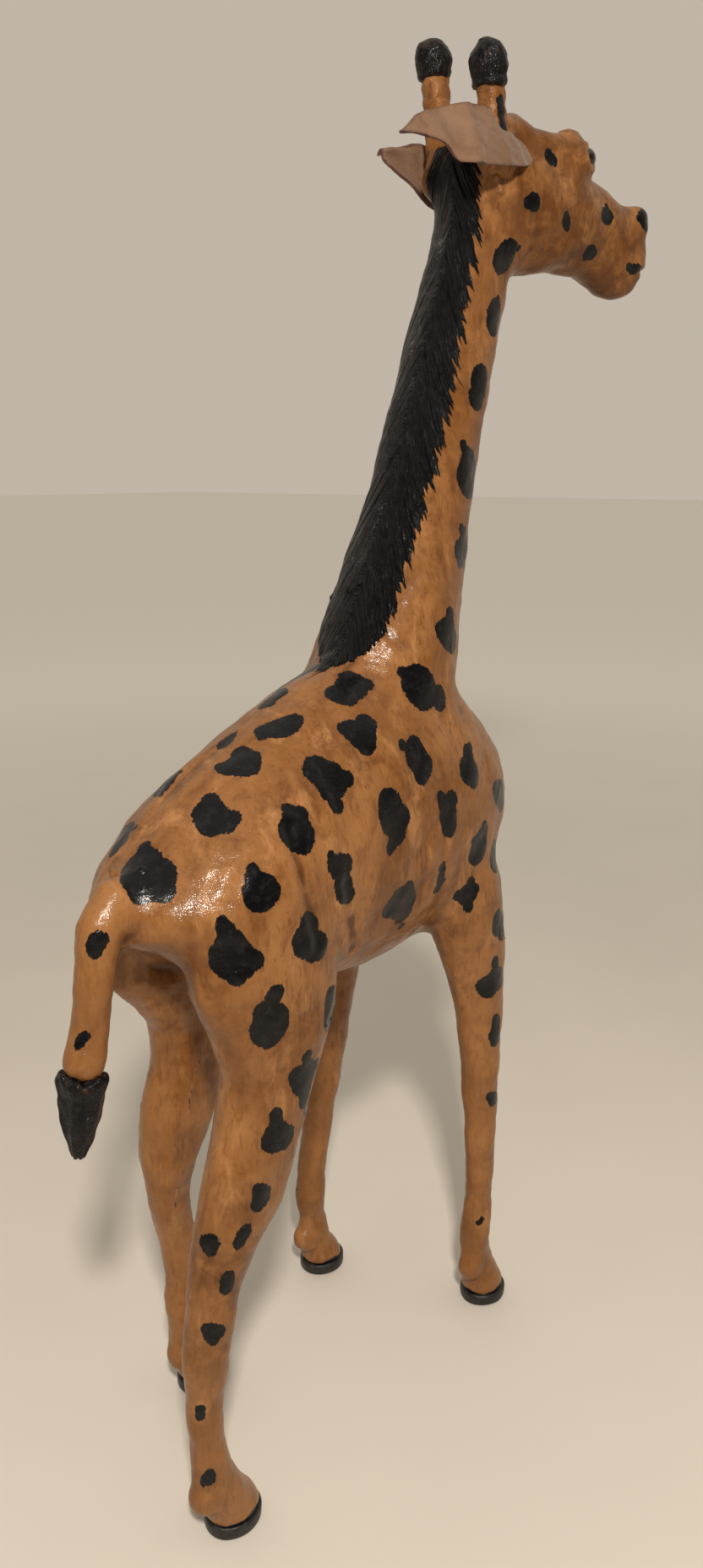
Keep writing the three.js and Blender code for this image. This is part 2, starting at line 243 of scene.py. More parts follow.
# ---------------------------------------------------------------- the stretched leather
# Filler on each side of the head: middle along, out and up, the egg's radii, and its pitch in degrees
HEAD_PADS = [
    ((62, 15, 711), (12, 18, 13), 0),         # brow
    ((43, 13, 717.5), (10, 24, 10), 6),       # ridge behind it
    ((5, 18.5, 717), (8, 10, 13), 22),        # in front of the horn
    ((52, 10, 716), (11, 14, 9), 0),          # between brow and ridge
    ((22, 13, 719), (11, 20, 11), 20),        # rise to the horn
    ((-3, 15.5, 710), (11, 15, 13), 0),       # horn root
    ((126, 9, 687), (8, 11, 11), 0),          # nose
]
MIDDLE_PADS = [
    ((-11, -16, 698), (8, 12, 13), 0),        # left horn's root
    ((118, 0, 652), (14, 17, 9), 0),          # chin
]
HEELS = {"front_right": (-51, -95), "front_left": (55, -53), "hind_right": (-37, 142), "hind_left": (45, 77)}


def head_pad(middle, radii, pitch, side=1):
    along, out, up = middle
    return lump(on_head(along, out * side, up), radii, (pitch, 0, -HEAD_TURN_DEGREES))


def leather_form():
    """The whole skin in one, stretched over the cores and the maker's filler."""
    names = [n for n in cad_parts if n.endswith(("_leather", "_core", "leg_peg"))]
    names += ["neck_peg", "head_peg"]
    parts = [copy_of(n) for n in names]
    parts += [head_pad(*pad, side) for side in (-1, 1) for pad in HEAD_PADS]
    parts += [head_pad(*pad) for pad in MIDDLE_PADS]
    parts += [lump(at(x, y, 30), (9, 7, 10)) for x, y in HEELS.values()]
    form = join(parts, "leather_form")
    fit(form, "REMESH", mode="VOXEL", voxel_size=VOXEL, adaptivity=0.0)
    keep_largest(form)
    return form


def keep_largest(piece):
    """Drops the loose bits that are left inside the form."""
    edges = edges_of(piece)
    n = len(piece.data.vertices)
    group = np.arange(n)
    while True:
        least = np.minimum(group[edges[:, 0]], group[edges[:, 1]])
        new = group.copy()
        np.minimum.at(new, edges[:, 0], least)
        np.minimum.at(new, edges[:, 1], least)
        new = new[new]
        if (new == group).all():
            break
        group = new
    main = np.bincount(group, minlength=n).argmax()
    pick(piece, group != main)
    bpy.ops.mesh.delete(type="VERT")
    done()


def drawing(co):
    """Places in the frame as millimetres of the maker's drawing."""
    return (np.asarray(co) - np.array(STAND)) * 1000


def off_drawing(d):
    return np.asarray(d) / 1000 + np.array(STAND)


# Lines across the side view, each from one point to another: y and z in millimetres
JAW_LINE = ((-64, 738), (-330, 532))
WITHERS_LINE = ((0, 496), (-150, 410))


def past_line(d, line):
    """How far each point is past a line across the side view."""
    (y0, z0), (y1, z1) = line
    return ((d[:, 1] - y0) * (z1 - z0) - (d[:, 2] - z0) * (y1 - y0)) / math.hypot(z1 - z0, y1 - y0)


def head_share(d):
    """1 on the head, 0 on the neck, with a soft change behind the jaw."""
    return ramp(past_line(d, JAW_LINE), -6, 10)


def stretch_smooth(form):
    """The leather lies smooth over the facets, and more so on the big forms.

    What the smoothing takes off is put back, so the legs and neck stay as thick as they were.
    """
    co, edges = points_of(form), edges_of(form)
    d = drawing(co)
    pull = 0.09 + 0.2 * ramp(d[:, 2], 110, 210) + 0.21 * ramp(d[:, 2], 240, 300)
    pull = pull + (0.05 - pull) * head_share(d)
    pull = np.where(d[:, 1] > 150, np.minimum(pull, 0.16), pull)
    even = relax(co, edges, SMOOTHING_ROUNDS, pull)
    set_points(form, even)
    loss = ((co - even) * normals_of(form)).sum(1)
    loss = relax(loss, edges, SMOOTHING_ROUNDS, np.maximum(pull, 0.2))
    set_points(form, even + normals_of(form) * loss[:, None])


def clear_of_cores(form, least=1.1, most=5.0, reach=0.006):
    """The skin never sinks into a core: it is lifted to lie clear of the wood.

    least is its gap from the wood and most is the longest lift, both in millimetres. Wood
    further off than reach, in metres, is not looked at.
    """
    cores = join([copy_of(n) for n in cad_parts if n.endswith("_core")], "all_cores")
    tree = mathutils.bvhtree.BVHTree.FromObject(cores, bpy.context.evaluated_depsgraph_get())
    co = points_of(form)
    lift = np.zeros(len(co))
    out = normals_of(form)
    for i, p in enumerate(co):
        near, facing, _, gap = tree.find_nearest(p, reach)
        if near is None:
            continue
        signed = (Vector(p) - near).dot(facing) * 1000
        if signed < least:
            lift[i] = min(least - signed, most)
    bpy.data.objects.remove(cores)
    spread = np.maximum(lift, relax(lift, edges_of(form), 8, np.full(len(co), 0.5)))
    set_points(form, co + out * spread[:, None] / 1000)


def finer_head(form):
    """The head is worked at half the size of the rest."""
    pick(form, head_share(drawing(face_centres(form))) > 0.55, "FACE")
    bpy.ops.mesh.subdivide(number_cuts=1, smoothness=0.0, quadcorner="INNERVERT")
    done()
    co, edges = points_of(form), edges_of(form)
    set_points(form, relax(co, edges, 6, 0.4 * ramp(head_share(drawing(co)), 0.3, 0.8)))


# Creases pressed in the leather: the line, how deep, how wide, and how high its lips stand
CREASES = [
    ([(-46, 77, 374), (-51, 78, 362), (-56, 77.5, 349), (-58, 75, 335), (-58, 71, 318)], 1.4, 3.2, 0.8),
    ([(-47, 98, 362), (-51, 97, 350), (-54, 95, 334)], 0.5, 3.6, 0.3),
    ([(-37, 53, 393), (-43, 54.7, 384), (-47, 56, 378), (-51, 58, 366)], 0.8, 3.8, 0.5),
    ([(-55, 47, 340), (-56, 43.4, 326), (-53.4, 36, 311), (-46, 27, 296)], 0.9, 3.0, 0.9),
    ([(55, 47, 340), (56, 43, 326), (53, 36, 311), (46, 27, 296)], 0.8, 3.2, 0.8),
    ([(10, 116, 370), (12, 103, 380), (13, 88, 390), (12, 73, 398), (8, 55, 405)], 0.8, 4.0, 0.6),
    ([(-56, -50, 300), (-56, -42, 318), (-57, -38, 336)], 0.7, 4.5, 0.4),
    ([(-54, -62, 262), (-50, -48, 272), (-44, -36, 282)], 1.0, 5.0, 0.6),
    ([(-18, -36, 456), (-24, -38, 449), (-30, -40, 442)], 0.4, 2.0, 0.3),
    ([(0, 142, 331), (-8, 147, 333), (-16, 145, 333), (-24, 141, 327)], 0.8, 4.5, 0.6),
    ([(8, 147, 333), (16, 145, 333), (24, 141, 327)], 0.8, 4.5, 0.6),
]


def eye_middle(side):
    """Where the eyeball sits: a little behind and above the frame's, tucked under the brow."""
    low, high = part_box("right_eye" if side > 0 else "left_eye")
    return drawing((low + high) / 2 + on_head(-4.5, 2 * side, 3.5) - on_head(0, 0, 0))


def sculpt(form):
    co, edges, out = points_of(form), edges_of(form), normals_of(form)
    d = drawing(co)
    push = np.zeros(len(co))
    for line, depth, width, lip in CREASES:
        gap = line_gap(d, line)
        push -= depth * np.exp(-((gap / width) ** 2))
        push += lip * np.exp(-(((gap - 2.1 * width) / width) ** 2))
    push += 0.55 * uneven(d, 34, 1) + 0.22 * uneven(d, 13, 5)
    # Eyelids, nostrils and the mouth
    for side in (-1, 1):
        eye = eye_middle(side)
        gap = np.linalg.norm(d - eye, axis=1)
        push += 0.9 * np.exp(-(((gap - 7.8) / 1.4) ** 2)) - 0.8 * np.exp(-((gap / 5) ** 2))
        nostril = drawing(on_head(133, 13 * side, 688))
        push -= 1.2 * np.exp(-((np.linalg.norm(d - nostril, axis=1) / 3.2) ** 2))
        lips = [drawing(on_head(a, 21 * side * w, z)) for a, w, z in
                ((112, 1, 655), (120, 0.95, 657), (128, 0.8, 659), (136, 0.4, 659), (138, 0, 659))]
        gap = line_gap(d, lips)
        push -= 1.5 * np.exp(-((gap / 1.9) ** 2))
        push += 0.5 * np.exp(-(((gap - 4) / 2.2) ** 2))
    # The mane lies a little proud of the neck
    push += 0.7 * ramp(mane_depth(d), -1.5, 2.5)
    set_points(form, co + out * push[:, None] / 1000)


def uneven(d, size, seed):
    """Smooth hills and hollows of that size, between -1 and 1."""
    rng = np.random.RandomState(seed)
    total = np.zeros(len(d))
    for _ in range(14):
        way = rng.normal(size=3)
        way /= np.linalg.norm(way)
        total += np.sin(d @ way * (2 * math.pi / size) * rng.uniform(0.6, 1.5) + rng.uniform(0, 6.28))
    return total / 4


# ---------------------------------------------------------------- paint
# The black spots, each a few dabs of the brush: where, and the dab's radius, in millimetres
SPOTS = [
    ((-34, -177, 710, 4.1), (-35, -180, 709, 3.4), (-34, -176, 712, 3.2)),
    ((-33, -162, 685, 5.2), (-32, -158, 684, 3.5), (-33, -164, 682, 2.2)),
    ((-46, -229, 686, 5.2), (-46, -226, 685, 3.9), (-47, -232, 687, 3.6), (-45, -230, 692, 1.8)),
    ((-55, -265, 689, 6.2), (-55, -267, 688, 6.4), (-54, -260, 689, 2.6)),
    ((-39, -190, 678, 3.8), (-39, -192, 676, 2.9), (-40, -189, 680, 3.5)),
    ((-23, -151, 656, 8.4), (-22, -146, 653, 7.4), (-24, -153, 660, 5.6), (-22, -142, 650, 5.2),
     (-25, -160, 661, 2.1)),
    ((-41, -219, 665, 4.9), (-42, -216, 666, 2.9), (-42, -221, 664, 4.2), (-40, -218, 664, 4.2)),
    ((-52, -256, 659, 3.2), (-52, -252, 660, 2.6), (-54, -260, 660, 2.6), (-54, -264, 660, 1.7),
     (-53, -258, 659, 3.2)),
    ((-24, -139, 625, 7.5), (-24, -135, 618, 7.0), (-23, -142, 632, 2.6), (-24, -132, 624, 3.0)),
    ((-26, -121, 588, 8.0), (-26, -117, 577, 7.4), (-25, -125, 580, 2.9), (-25, -114, 586, 2.3)),
    ((-27, -110, 534, 12.7), (-27, -108, 541, 9.1), (-27, -103, 551, 3.3), (-28, -104, 535, 8.3),
     (-27, -108, 533, 11.2)),
    ((-29, -102, 493, 10.0), (-31, -95, 493, 7.1), (-30, -98, 505, 3.6), (-31, -95, 489, 5.8),
     (-29, -103, 505, 2.0)),
    ((-37, -75, 449, 9.8), (-37, -67, 452, 4.9), (-36, -78, 459, 4.9), (-36, -80, 444, 7.8),
     (-37, -72, 450, 8.3)),
    ((-40, -45, 422, 12.2), (-41, -59, 415, 7.8), (-38, -43, 425, 11.1), (-33, -36, 432, 3.4)),
    ((-20, -7, 427, 9.3), (-19, 3, 424, 7.6), (-19, -10, 428, 9.0), (-23, -17, 427, 4.1),
     (-21, 1, 424, 8.4), (-13, -12, 431, 4.8)),
    ((9, 19, 423, 6.0), (10, 26, 420, 5.3), (11, 16, 424, 4.9), (6, 28, 420, 2.4), (11, 28, 419, 4.1),
     (10, 23, 421, 5.8)),
    ((-38, 8, 406, 9.3), (-36, 1, 410, 6.4), (-32, 16, 409, 4.2), (-40, 8, 401, 6.5), (-35, 12, 408, 6.8)),
    ((-12, 44, 412, 7.7), (-15, 35, 415, 5.2), (-8, 48, 411, 6.4), (-14, 40, 413, 7.3), (-9, 54, 408, 1.8)),
    ((10, 59, 404, 5.0), (10, 53, 408, 2.1), (10, 56, 406, 3.9), (10, 62, 403, 2.4)),
    ((-51, -24, 389, 9.1), (-53, -26, 384, 8.5), (-49, -26, 395, 6.3), (-47, -16, 397, 3.7),
     (-54, -24, 380, 5.6), (-53, -29, 385, 7.0)),
    ((-56, -69, 374, 9.2), (-53, -72, 383, 5.3), (-58, -73, 370, 7.6), (-52, -76, 386, 2.6)),
    ((-12, 71, 399, 9.4), (-6, 65, 402, 5.3), (-8, 76, 398, 6.4), (-16, 72, 398, 6.5), (-12, 67, 401, 6.8),
     (-3, 77, 398, 3.6)),
    ((-42, 40, 389, 10.7), (-38, 44, 394, 8.8), (-48, 43, 378, 5.1), (-45, 30, 388, 4.7),
     (-44, 43, 385, 7.5)),
    ((-53, -108, 352, 7.8), (-50, -114, 349, 9.4), (-54, -104, 354, 5.9), (-48, -119, 343, 6.9)),
    ((25, 88, 386, 7.9), (20, 83, 392, 2.3), (23, 92, 385, 5.5), (19, 97, 384, 1.6), (27, 85, 387, 8.8)),
    ((-58, -44, 358, 7.7), (-59, -45, 348, 7.2), (-58, -48, 362, 5.5), (-57, -38, 366, 3.2),
     (-58, -40, 362, 4.9), (-59, -44, 354, 7.7)),
    ((-55, 5, 364, 10.5), (-56, 2, 355, 7.6), (-54, 5, 370, 9.3), (-56, -2, 362, 7.5), (-57, 8, 348, 4.1)),
    ((-20, 101, 380, 9.0), (-16, 100, 382, 8.6), (-27, 96, 380, 5.1), (-12, 94, 386, 4.4),
     (-28, 100, 377, 3.8), (-21, 103, 378, 7.2)),
    ((-48, 72, 370, 9.7), (-45, 71, 376, 7.4), (-45, 66, 378, 4.2), (-41, 71, 381, 3.6),
     (-47, 75, 371, 8.7), (-51, 72, 366, 5.8)),
    ((-57, -81, 326, 10.5), (-57, -86, 333, 6.5), (-58, -85, 338, 3.2), (-58, -72, 332, 2.6),
     (-57, -79, 323, 8.6)),
    ((29, 112, 367, 6.6), (26, 119, 364, 4.8), (25, 123, 361, 3.5), (21, 113, 371, 2.2),
     (32, 110, 367, 4.3), (25, 118, 364, 5.1), (25, 125, 360, 2.5)),
    ((-10, 135, 358, 12.3), (-2, 131, 362, 10.3), (-19, 134, 353, 6.1), (-12, 133, 358, 11.2),
     (4, 123, 367, 3.8), (-12, 142, 352, 5.1)),
    ((-52, -107, 312, 9.8), (-55, -102, 311, 6.8), (-55, -102, 309, 6.0), (-52, -108, 312, 10.0)),
    ((-58, 51, 349, 7.7), (-58, 49, 337, 7.0), (-56, 57, 357, 2.9), (-57, 45, 333, 4.8),
     (-57, 46, 350, 5.1), (-58, 50, 341, 6.9), (-57, 56, 352, 4.9)),
    ((-50, 102, 350, 9.3), (-45, 102, 360, 3.3), (-50, 105, 348, 6.9), (-47, 103, 356, 5.1),
     (-51, 100, 350, 8.1)),
    ((-55, -42, 312, 4.4), (-57, -41, 324, 3.0), (-56, -42, 318, 3.3), (-55, -38, 311, 2.5),
     (-57, -42, 322, 2.9), (-55, -46, 315, 1.9), (-58, -42, 326, 1.8)),
    ((-55, -73, 298, 7.2), (-55, -74, 290, 3.6), (-56, -75, 306, 3.2), (-57, -79, 301, 3.2),
     (-53, -66, 299, 3.7)),
    ((-53, -9, 312, 10.8), (-54, -3, 314, 9.8), (-51, -13, 304, 7.5), (-53, 4, 313, 6.2),
     (-53, -14, 310, 7.5), (-56, -10, 320, 5.1), (-47, -17, 294, 2.8)),
    ((-61, -101, 273, 8.8), (-60, -106, 266, 6.3), (-61, -98, 276, 4.9)),
    ((-59, 79, 321, 9.6), (-58, 71, 315, 7.4), (-57, 78, 329, 5.6), (-57, 76, 326, 6.8),
     (-59, 76, 314, 5.9), (-59, 82, 321, 8.1)),
    ((-47, 120, 323, 10.6), (-45, 121, 336, 4.7), (-50, 118, 321, 9.4), (-54, 111, 320, 4.7),
     (-50, 120, 314, 4.6), (-44, 122, 340, 3.2), (-47, 120, 330, 7.0)),
    ((-8, 164, 336, 4.5), (-7, 166, 332, 3.6), (-9, 162, 336, 3.1), (-7, 165, 334, 4.5),
     (-7, 165, 330, 3.0)),
    ((-60, -95, 234, 9.2), (-61, -104, 235, 7.5), (-61, -98, 248, 4.3), (-58, -90, 236, 5.8),
     (-61, -98, 236, 9.5)),
    ((-57, 105, 287, 10.5), (-58, 104, 300, 4.8), (-57, 106, 284, 9.7), (-56, 110, 295, 4.5),
     (-59, 102, 302, 4.1), (-56, 105, 279, 5.6)),
    ((-57, 58, 277, 11.6), (-59, 61, 283, 6.9), (-58, 62, 274, 7.7), (-54, 54, 273, 11.6)),
    ((-60, -102, 198, 5.4), (-60, -104, 204, 5.2), (-60, -104, 194, 5.2), (-60, -103, 208, 3.8),
     (-59, -111, 193, 3.1)),
    ((-4, 174, 290, 3.0), (-5, 172, 292, 2.4), (-3, 175, 288, 2.4)),
    ((-59, 82, 249, 9.7), (-57, 80, 237, 6.5), (-60, 82, 261, 3.8), (-59, 89, 253, 5.2),
     (-57, 73, 249, 6.1), (-53, 73, 230, 7.7)),
    ((-60, -104, 152, 5.2), (-59, -101, 155, 3.5), (-60, -107, 151, 3.9)),
    ((-55, 100, 224, 8.5), (-55, 100, 236, 3.8), (-56, 94, 221, 6.6), (-54, 104, 223, 5.2),
     (-55, 100, 232, 4.0)),
    ((-54, 111, 196, 6.0), (-54, 113, 201, 3.6), (-54, 113, 193, 4.4), (-54, 110, 196, 5.6)),
    ((-58, -94, 67, 2.2), (-59, -96, 69, 1.5), (-59, -95, 68, 1.8), (-59, -96, 70, 0.9),
     (-56, -93, 67, 0.7)),
    ((-52, 122, 180, 4.3), (-51, 124, 177, 3.9), (-52, 120, 182, 3.0)),
    ((-41, 135, 178, 4.9), (-42, 135, 175, 3.6), (-42, 134, 179, 4.1), (-38, 136, 178, 2.5)),
    ((-49, 131, 156, 4.7), (-49, 130, 161, 3.0), (-49, 131, 159, 4.0), (-49, 131, 154, 3.7)),
    ((-46, 139, 132, 5.1), (-45, 141, 135, 3.9), (-46, 139, 128, 2.7), (-47, 137, 132, 4.2)),
    ((-42, 146, 90, 2.7), (-42, 146, 86, 2.2), (-42, 146, 87, 2.6), (-42, 146, 90, 2.8),
     (-42, 146, 85, 1.7)),
    ((-43, 143, 47, 4.0), (-41, 145, 44, 2.2), (-44, 143, 50, 2.7), (-43, 143, 44, 1.7)),
]

# The mane's edge: heights up the neck, and how wide it is there; it ends at the neck's mid-line
MANE_EDGE_Z = [433.6, 437, 443, 452, 465, 478, 495, 518, 545, 563, 586, 613, 641, 673, 699, 714]
MANE_EDGE_W = [0, 9.6, 17.3, 20.8, 22.9, 22.3, 21.8, 21, 20.8, 21, 20.3, 18.2, 17.2, 14.7, 15, 12]
NECK_Z = [380, 420, 471, 517, 564, 611, 655, 690, 710]
NECK_Y = [-50, -60, -80, -99, -114, -131, -147, -157, -160]
MANE_TOP = 716


def mane_depth(d):
    """How far inside the painted mane a point is, in millimetres."""
    x, y, z = d.T
    width = np.interp(z, MANE_EDGE_Z, MANE_EDGE_W) + 3 - np.abs(x - 3)
    rear = y - np.interp(z, NECK_Z, NECK_Y) + 4
    return np.minimum.reduce([width - np.maximum(MANE_EDGE_Z[0] - z, 0), rear, MANE_TOP - z])


# The left legs stand forward or back of the right ones: heights, and how far back
FRONT_STAGGER = ([0, 118, 195, 255, 300], [41, 36, 29, 18, 0])
HIND_STAGGER = ([0, 62, 112, 145, 168, 188, 217, 246, 275, 300, 340],
                [-62, -65, -62, -49, -40, -32, -32, -28, -22, -14, 0])
BARE_WAY = (-0.58, 0.77, 0.26)     # the hind left leg has no spots where it faces this way
SPOT_GAP = 17                      # between the middles of one side's spots and the other's


def other_side(spots, form):
    """The left side's spots: the right side's, moved over to it, each a little different."""
    co, out = drawing(points_of(form)), normals_of(form)
    tree = mathutils.kdtree.KDTree(len(co))
    for i, p in enumerate(co):
        tree.insert(p, i)
    tree.balance()
    rng = np.random.RandomState(11)
    s, c = math.sin(HEAD_TURN), math.cos(HEAD_TURN)
    centres = [np.mean([dab[:3] for dab in spot], axis=0) for spot in spots]
    made = []
    for spot, centre in zip(spots, centres):
        if centre[0] > -14 or (centre[1] > 150 and centre[2] > 270):
            continue
        turn = rng.uniform(-0.5, 0.5)
        grow = rng.uniform(0.9, 1.1)
        slide = rng.uniform(-4, 4, 2) if centre[2] > 260 else rng.uniform(-1.5, 1.5, 2)
        on_face = centre[1] < -140 and centre[2] > 640
        new = []
        for x, y, z, r in spot:
            if on_face:
                along, right = -x * s - (y - HEAD_PIVOT_Y) * c, -x * c + (y - HEAD_PIVOT_Y) * s
                p = drawing(on_head(along + 1, -right, z - 1))
            else:
                dy, dz = y - centre[1], z - centre[2]
                y = centre[1] + slide[0] + grow * (dy * math.cos(turn) - dz * math.sin(turn))
                z = centre[2] + slide[1] + grow * (dy * math.sin(turn) + dz * math.cos(turn))
                if z < 300 and y < -20:
                    y += np.interp(z, *FRONT_STAGGER)
                elif z < 340 and y > 20:
                    y += np.interp(z, *HIND_STAGGER)
                p = (-x, y, z)
            near = tree.find(p)[0]
            new.append((near[0], near[1], near[2], r * grow))
        middle = np.mean([dab[:3] for dab in new], axis=0)
        facing = out[tree.find(middle)[1]]
        if middle[1] > 40 and middle[2] < 260 and facing @ BARE_WAY > -0.15:
            continue
        if all(np.linalg.norm(middle - other) > SPOT_GAP for other in centres):
            made.append(tuple(new))
    return made


# Spots down the throat and the chest, roughly placed; the nearest skin takes them
FRONT_SPOTS = [
    ((-18, -160, 356, 7), (-22, -158, 350, 6), (-15, -162, 363, 5)),
    ((18, -162, 326, 8), (14, -164, 335, 5), (24, -158, 320, 6)),
    ((30, -142, 362, 7), (34, -138, 354, 6)),
    ((-9, -166, 302, 6), (-3, -166, 308, 5)),
    ((9, -150, 425, 6), (11, -148, 434, 5)),
    ((-9, -165, 482, 5), (-7, -166, 490, 5)),
    ((8, -180, 542, 5), (8, -182, 550, 4.5)),
    ((-6, -190, 602, 4.5), (-6, -192, 609, 4.5)),
]


def on_skin(spots, form):
    """Each dab moved to the nearest point of the skin."""
    co = drawing(points_of(form))

    def moved(dab):
        return (*co[np.linalg.norm(co - dab[:3], axis=1).argmin()], dab[3])

    return [tuple(moved(dab) for dab in spot) for spot in spots]


def spot_depth(d, spots):
    """How far inside a painted spot each point is, in millimetres, with the dabs run together."""
    depth = np.full(len(d), -9.0)
    for spot in spots:
        middle = np.mean([dab[:3] for dab in spot], axis=0)
        near = np.nonzero(np.abs(d - middle).max(axis=1) < 40)[0]
        if len(near) == 0:
            continue
        part = np.stack([r - np.linalg.norm(d[near] - np.array((x, y, z)), axis=1) for x, y, z, r in spot])
        joined = np.log(np.exp(part / 0.35).sum(0)) * 0.35
        depth[near] = np.maximum(depth[near], joined)
    return depth


# Darker oil where hands and dye have been: middle, radius, strength
STAINS = [
    ((-44, 130, 160), 24, 1.2), ((-40, 140, 120), 20, 1.0), ((-50, 118, 190), 18, 0.6), ((-37, 140, 85), 18, 0.5),
    ((-37, 138, 42), 16, 0.8), ((44, 80, 150), 20, 0.7), ((-40, 100, 262), 26, 0.4), ((-52, 36, 400), 22, 0.35),
    ((-54, -30, 372), 28, 0.35), ((-26, -60, 470), 24, 0.5), ((-30, -75, 440), 22, 0.4), ((-50, -60, 285), 26, 0.55),
    ((-51, -100, 60), 18, 0.6), ((55, -60, 60), 18, 0.6), ((-55, 0, 330), 24, 0.4), ((0, -20, 436), 20, 0.3),
    ((-30, -160, 690), 24, 0.5), ((-36, -190, 690), 20, 0.5), ((-20, 120, 372), 26, 0.35), ((-34, 132, 300), 24, 0.5),
    ((44, -80, 262), 26, 0.5), ((40, 60, 262), 28, 0.5), ((45, 60, 30), 16, 0.6), ((-57, 70, 330), 22, 0.45),
]

# Fine threads of pale glue and raised cuts, and the seams between the panels
THREADS = [
    [(-17.8, -36, 456.4), (-23, -38, 449), (-29.4, -39.6, 443)],
    [(-16, -33, 452), (-21, -35, 446), (-27, -35, 438)],
]
SEAMS = [
    [(-40, 30, 288), (-41.4, 22, 288), (-42.5, 4.5, 287.7), (-43.3, -18.3, 287.3), (-41.4, -46.7, 284.3)],
    [(40, 30, 288), (42.5, 4.5, 287.7), (43.3, -18.3, 287.3), (41.4, -46.7, 284.3)],
    [(20, 66, 252), (22.5, 70.4, 235.3), (24.8, 74, 221), (25.9, 78.1, 207), (27, 80, 190), (30, 84, 165),
     (34, 85, 140)],
    [(-19, 88, 250), (-20, 96, 225), (-21, 108, 200), (-24, 124, 170), (-28, 134, 140)],
]


def paint(form):
    """What the leather's finish reads on each corner: paint, dye, seams, and how it hollows, which the finish darkens
    as painted shade.
    """
    co, edges = points_of(form), edges_of(form)
    d = drawing(co)
    spots = SPOTS + other_side(SPOTS, form) + on_skin(FRONT_SPOTS, form)
    attribute(form, "spot", spot_depth(d, spots))
    attribute(form, "mane", np.maximum(mane_depth(d), -9))
    x, y, z = d.T
    attribute(form, "strand", np.abs(x) + 0.42 * z)
    attribute(form, "length", z - 0.2 * np.abs(x))
    band = 9.6 + 0.8 * np.sin(x * 0.35) + 0.9 * np.sin(y * 0.27 + 1)
    attribute(form, "band", np.clip(band - z, -9, 9))
    stain = np.zeros(len(d))
    for middle, radius, strength in STAINS:
        stain = np.maximum(stain, strength * np.exp(-((np.linalg.norm(d - middle, axis=1) / radius) ** 2)))
    # Also darker higher up the neck and over the head
    stain = np.maximum(stain, 0.42 * ramp(z, 400, 560) + 0.28 * head_share(d))
    attribute(form, "stain", stain)
    attribute(form, "thread", np.minimum.reduce([line_gap(d, line) for line in THREADS]))
    attribute(form, "seam", np.minimum.reduce([line_gap(d, line) for line in SEAMS]))
    # How deep each corner sits in a hollow; the finish paints shade into the hollows from it
    soft = relax(co, edges, 24, np.full(len(co), 0.5))
    attribute(form, "hollow", ((soft - co) * normals_of(form)).sum(1) * 1000)


# ---------------------------------------------------------------- finishes
class Finish:
    """A small bench for wiring one finish."""

    def __init__(self, name):
        self.material = bpy.data.materials.new(name)
        self.material.use_nodes = True
        self.tree = self.material.node_tree
        self.tree.nodes.clear()
        self.out = self.tree.nodes.new("ShaderNodeOutputMaterial")
        self.shader = self.tree.nodes.new("ShaderNodeBsdfPrincipled")
        self.tree.links.new(self.shader.outputs[0], self.out.inputs[0])
        self.place = self.tree.nodes.new("ShaderNodeTexCoord").outputs["Object"]

    def set(self, socket, value):
        if isinstance(value, bpy.types.NodeSocket):
            self.tree.links.new(value, socket)
        else:
            socket.default_value = value

    def surface(self, **values):
        for name, value in values.items():
            self.set(self.shader.inputs[name.replace("_", " ")], value)

    def math(self, kind, a, b=0.0, c=0.0, clamp=False):
        n = self.tree.nodes.new("ShaderNodeMath")
        n.operation, n.use_clamp = kind, clamp
        for socket, value in zip(n.inputs, (a, b, c)):
            self.set(socket, value)
        return n.outputs[0]

    def stretch(self, scale, turn=(0, 0, 0), source=None):
        n = self.tree.nodes.new("ShaderNodeMapping")
        self.set(n.inputs["Vector"], source or self.place)
        n.inputs["Scale"].default_value = scale
        n.inputs["Rotation"].default_value = turn
        return n.outputs[0]

    def noise(self, scale, detail=3.0, rough=0.5, warp=0.0, place=None):
        n = self.tree.nodes.new("ShaderNodeTexNoise")
        self.set(n.inputs["Vector"], place or self.place)
        for name, value in (("Scale", scale), ("Detail", detail), ("Roughness", rough), ("Distortion", warp)):
            n.inputs[name].default_value = value
        return n.outputs[0]

    def cells(self, scale, feature="F1", place=None, output="Distance"):
        n = self.tree.nodes.new("ShaderNodeTexVoronoi")
        n.feature = feature
        self.set(n.inputs["Vector"], place or self.place)
        n.inputs["Scale"].default_value = scale
        return n.outputs[output]

    def span(self, value, low, high, to_low=0.0, to_high=1.0):
        n = self.tree.nodes.new("ShaderNodeMapRange")
        n.interpolation_type = "SMOOTHSTEP"
        for socket, v in zip(n.inputs, (value, low, high, to_low, to_high)):
            self.set(socket, v)
        return n.outputs[0]

    def blend(self, share, a, b):
        n = self.tree.nodes.new("ShaderNodeMix")
        n.data_type = "RGBA"
        self.set(n.inputs[0], share)
        for socket, v in ((n.inputs[6], a), (n.inputs[7], b)):
            self.set(socket, (*v, 1.0) if isinstance(v, tuple) and len(v) == 3 else v)
        return n.outputs[2]

    def attribute(self, name):
        n = self.tree.nodes.new("ShaderNodeAttribute")
        n.attribute_name = name
        return n.outputs["Fac"]

    def join(self, x, y, z):
        n = self.tree.nodes.new("ShaderNodeCombineXYZ")
        for socket, v in zip(n.inputs, (x, y, z)):
            self.set(socket, v)
        return n.outputs[0]

    def strands(self, across, across_scale, along, along_scale, shift):
        """A place for a pattern of strands, fine across them and long along them."""
        across = self.math("MULTIPLY", across, across_scale)
        return self.join(across, self.math("MULTIPLY", along, along_scale), shift)

    def bump(self, height, distance, strength=1.0, under=None):
        n = self.tree.nodes.new("ShaderNodeBump")
        n.inputs["Distance"].default_value = distance
        n.inputs["Strength"].default_value = strength
        self.set(n.inputs["Height"], height)
        if under is not None:
            self.set(n.inputs["Normal"], under)
        return n.outputs[0]


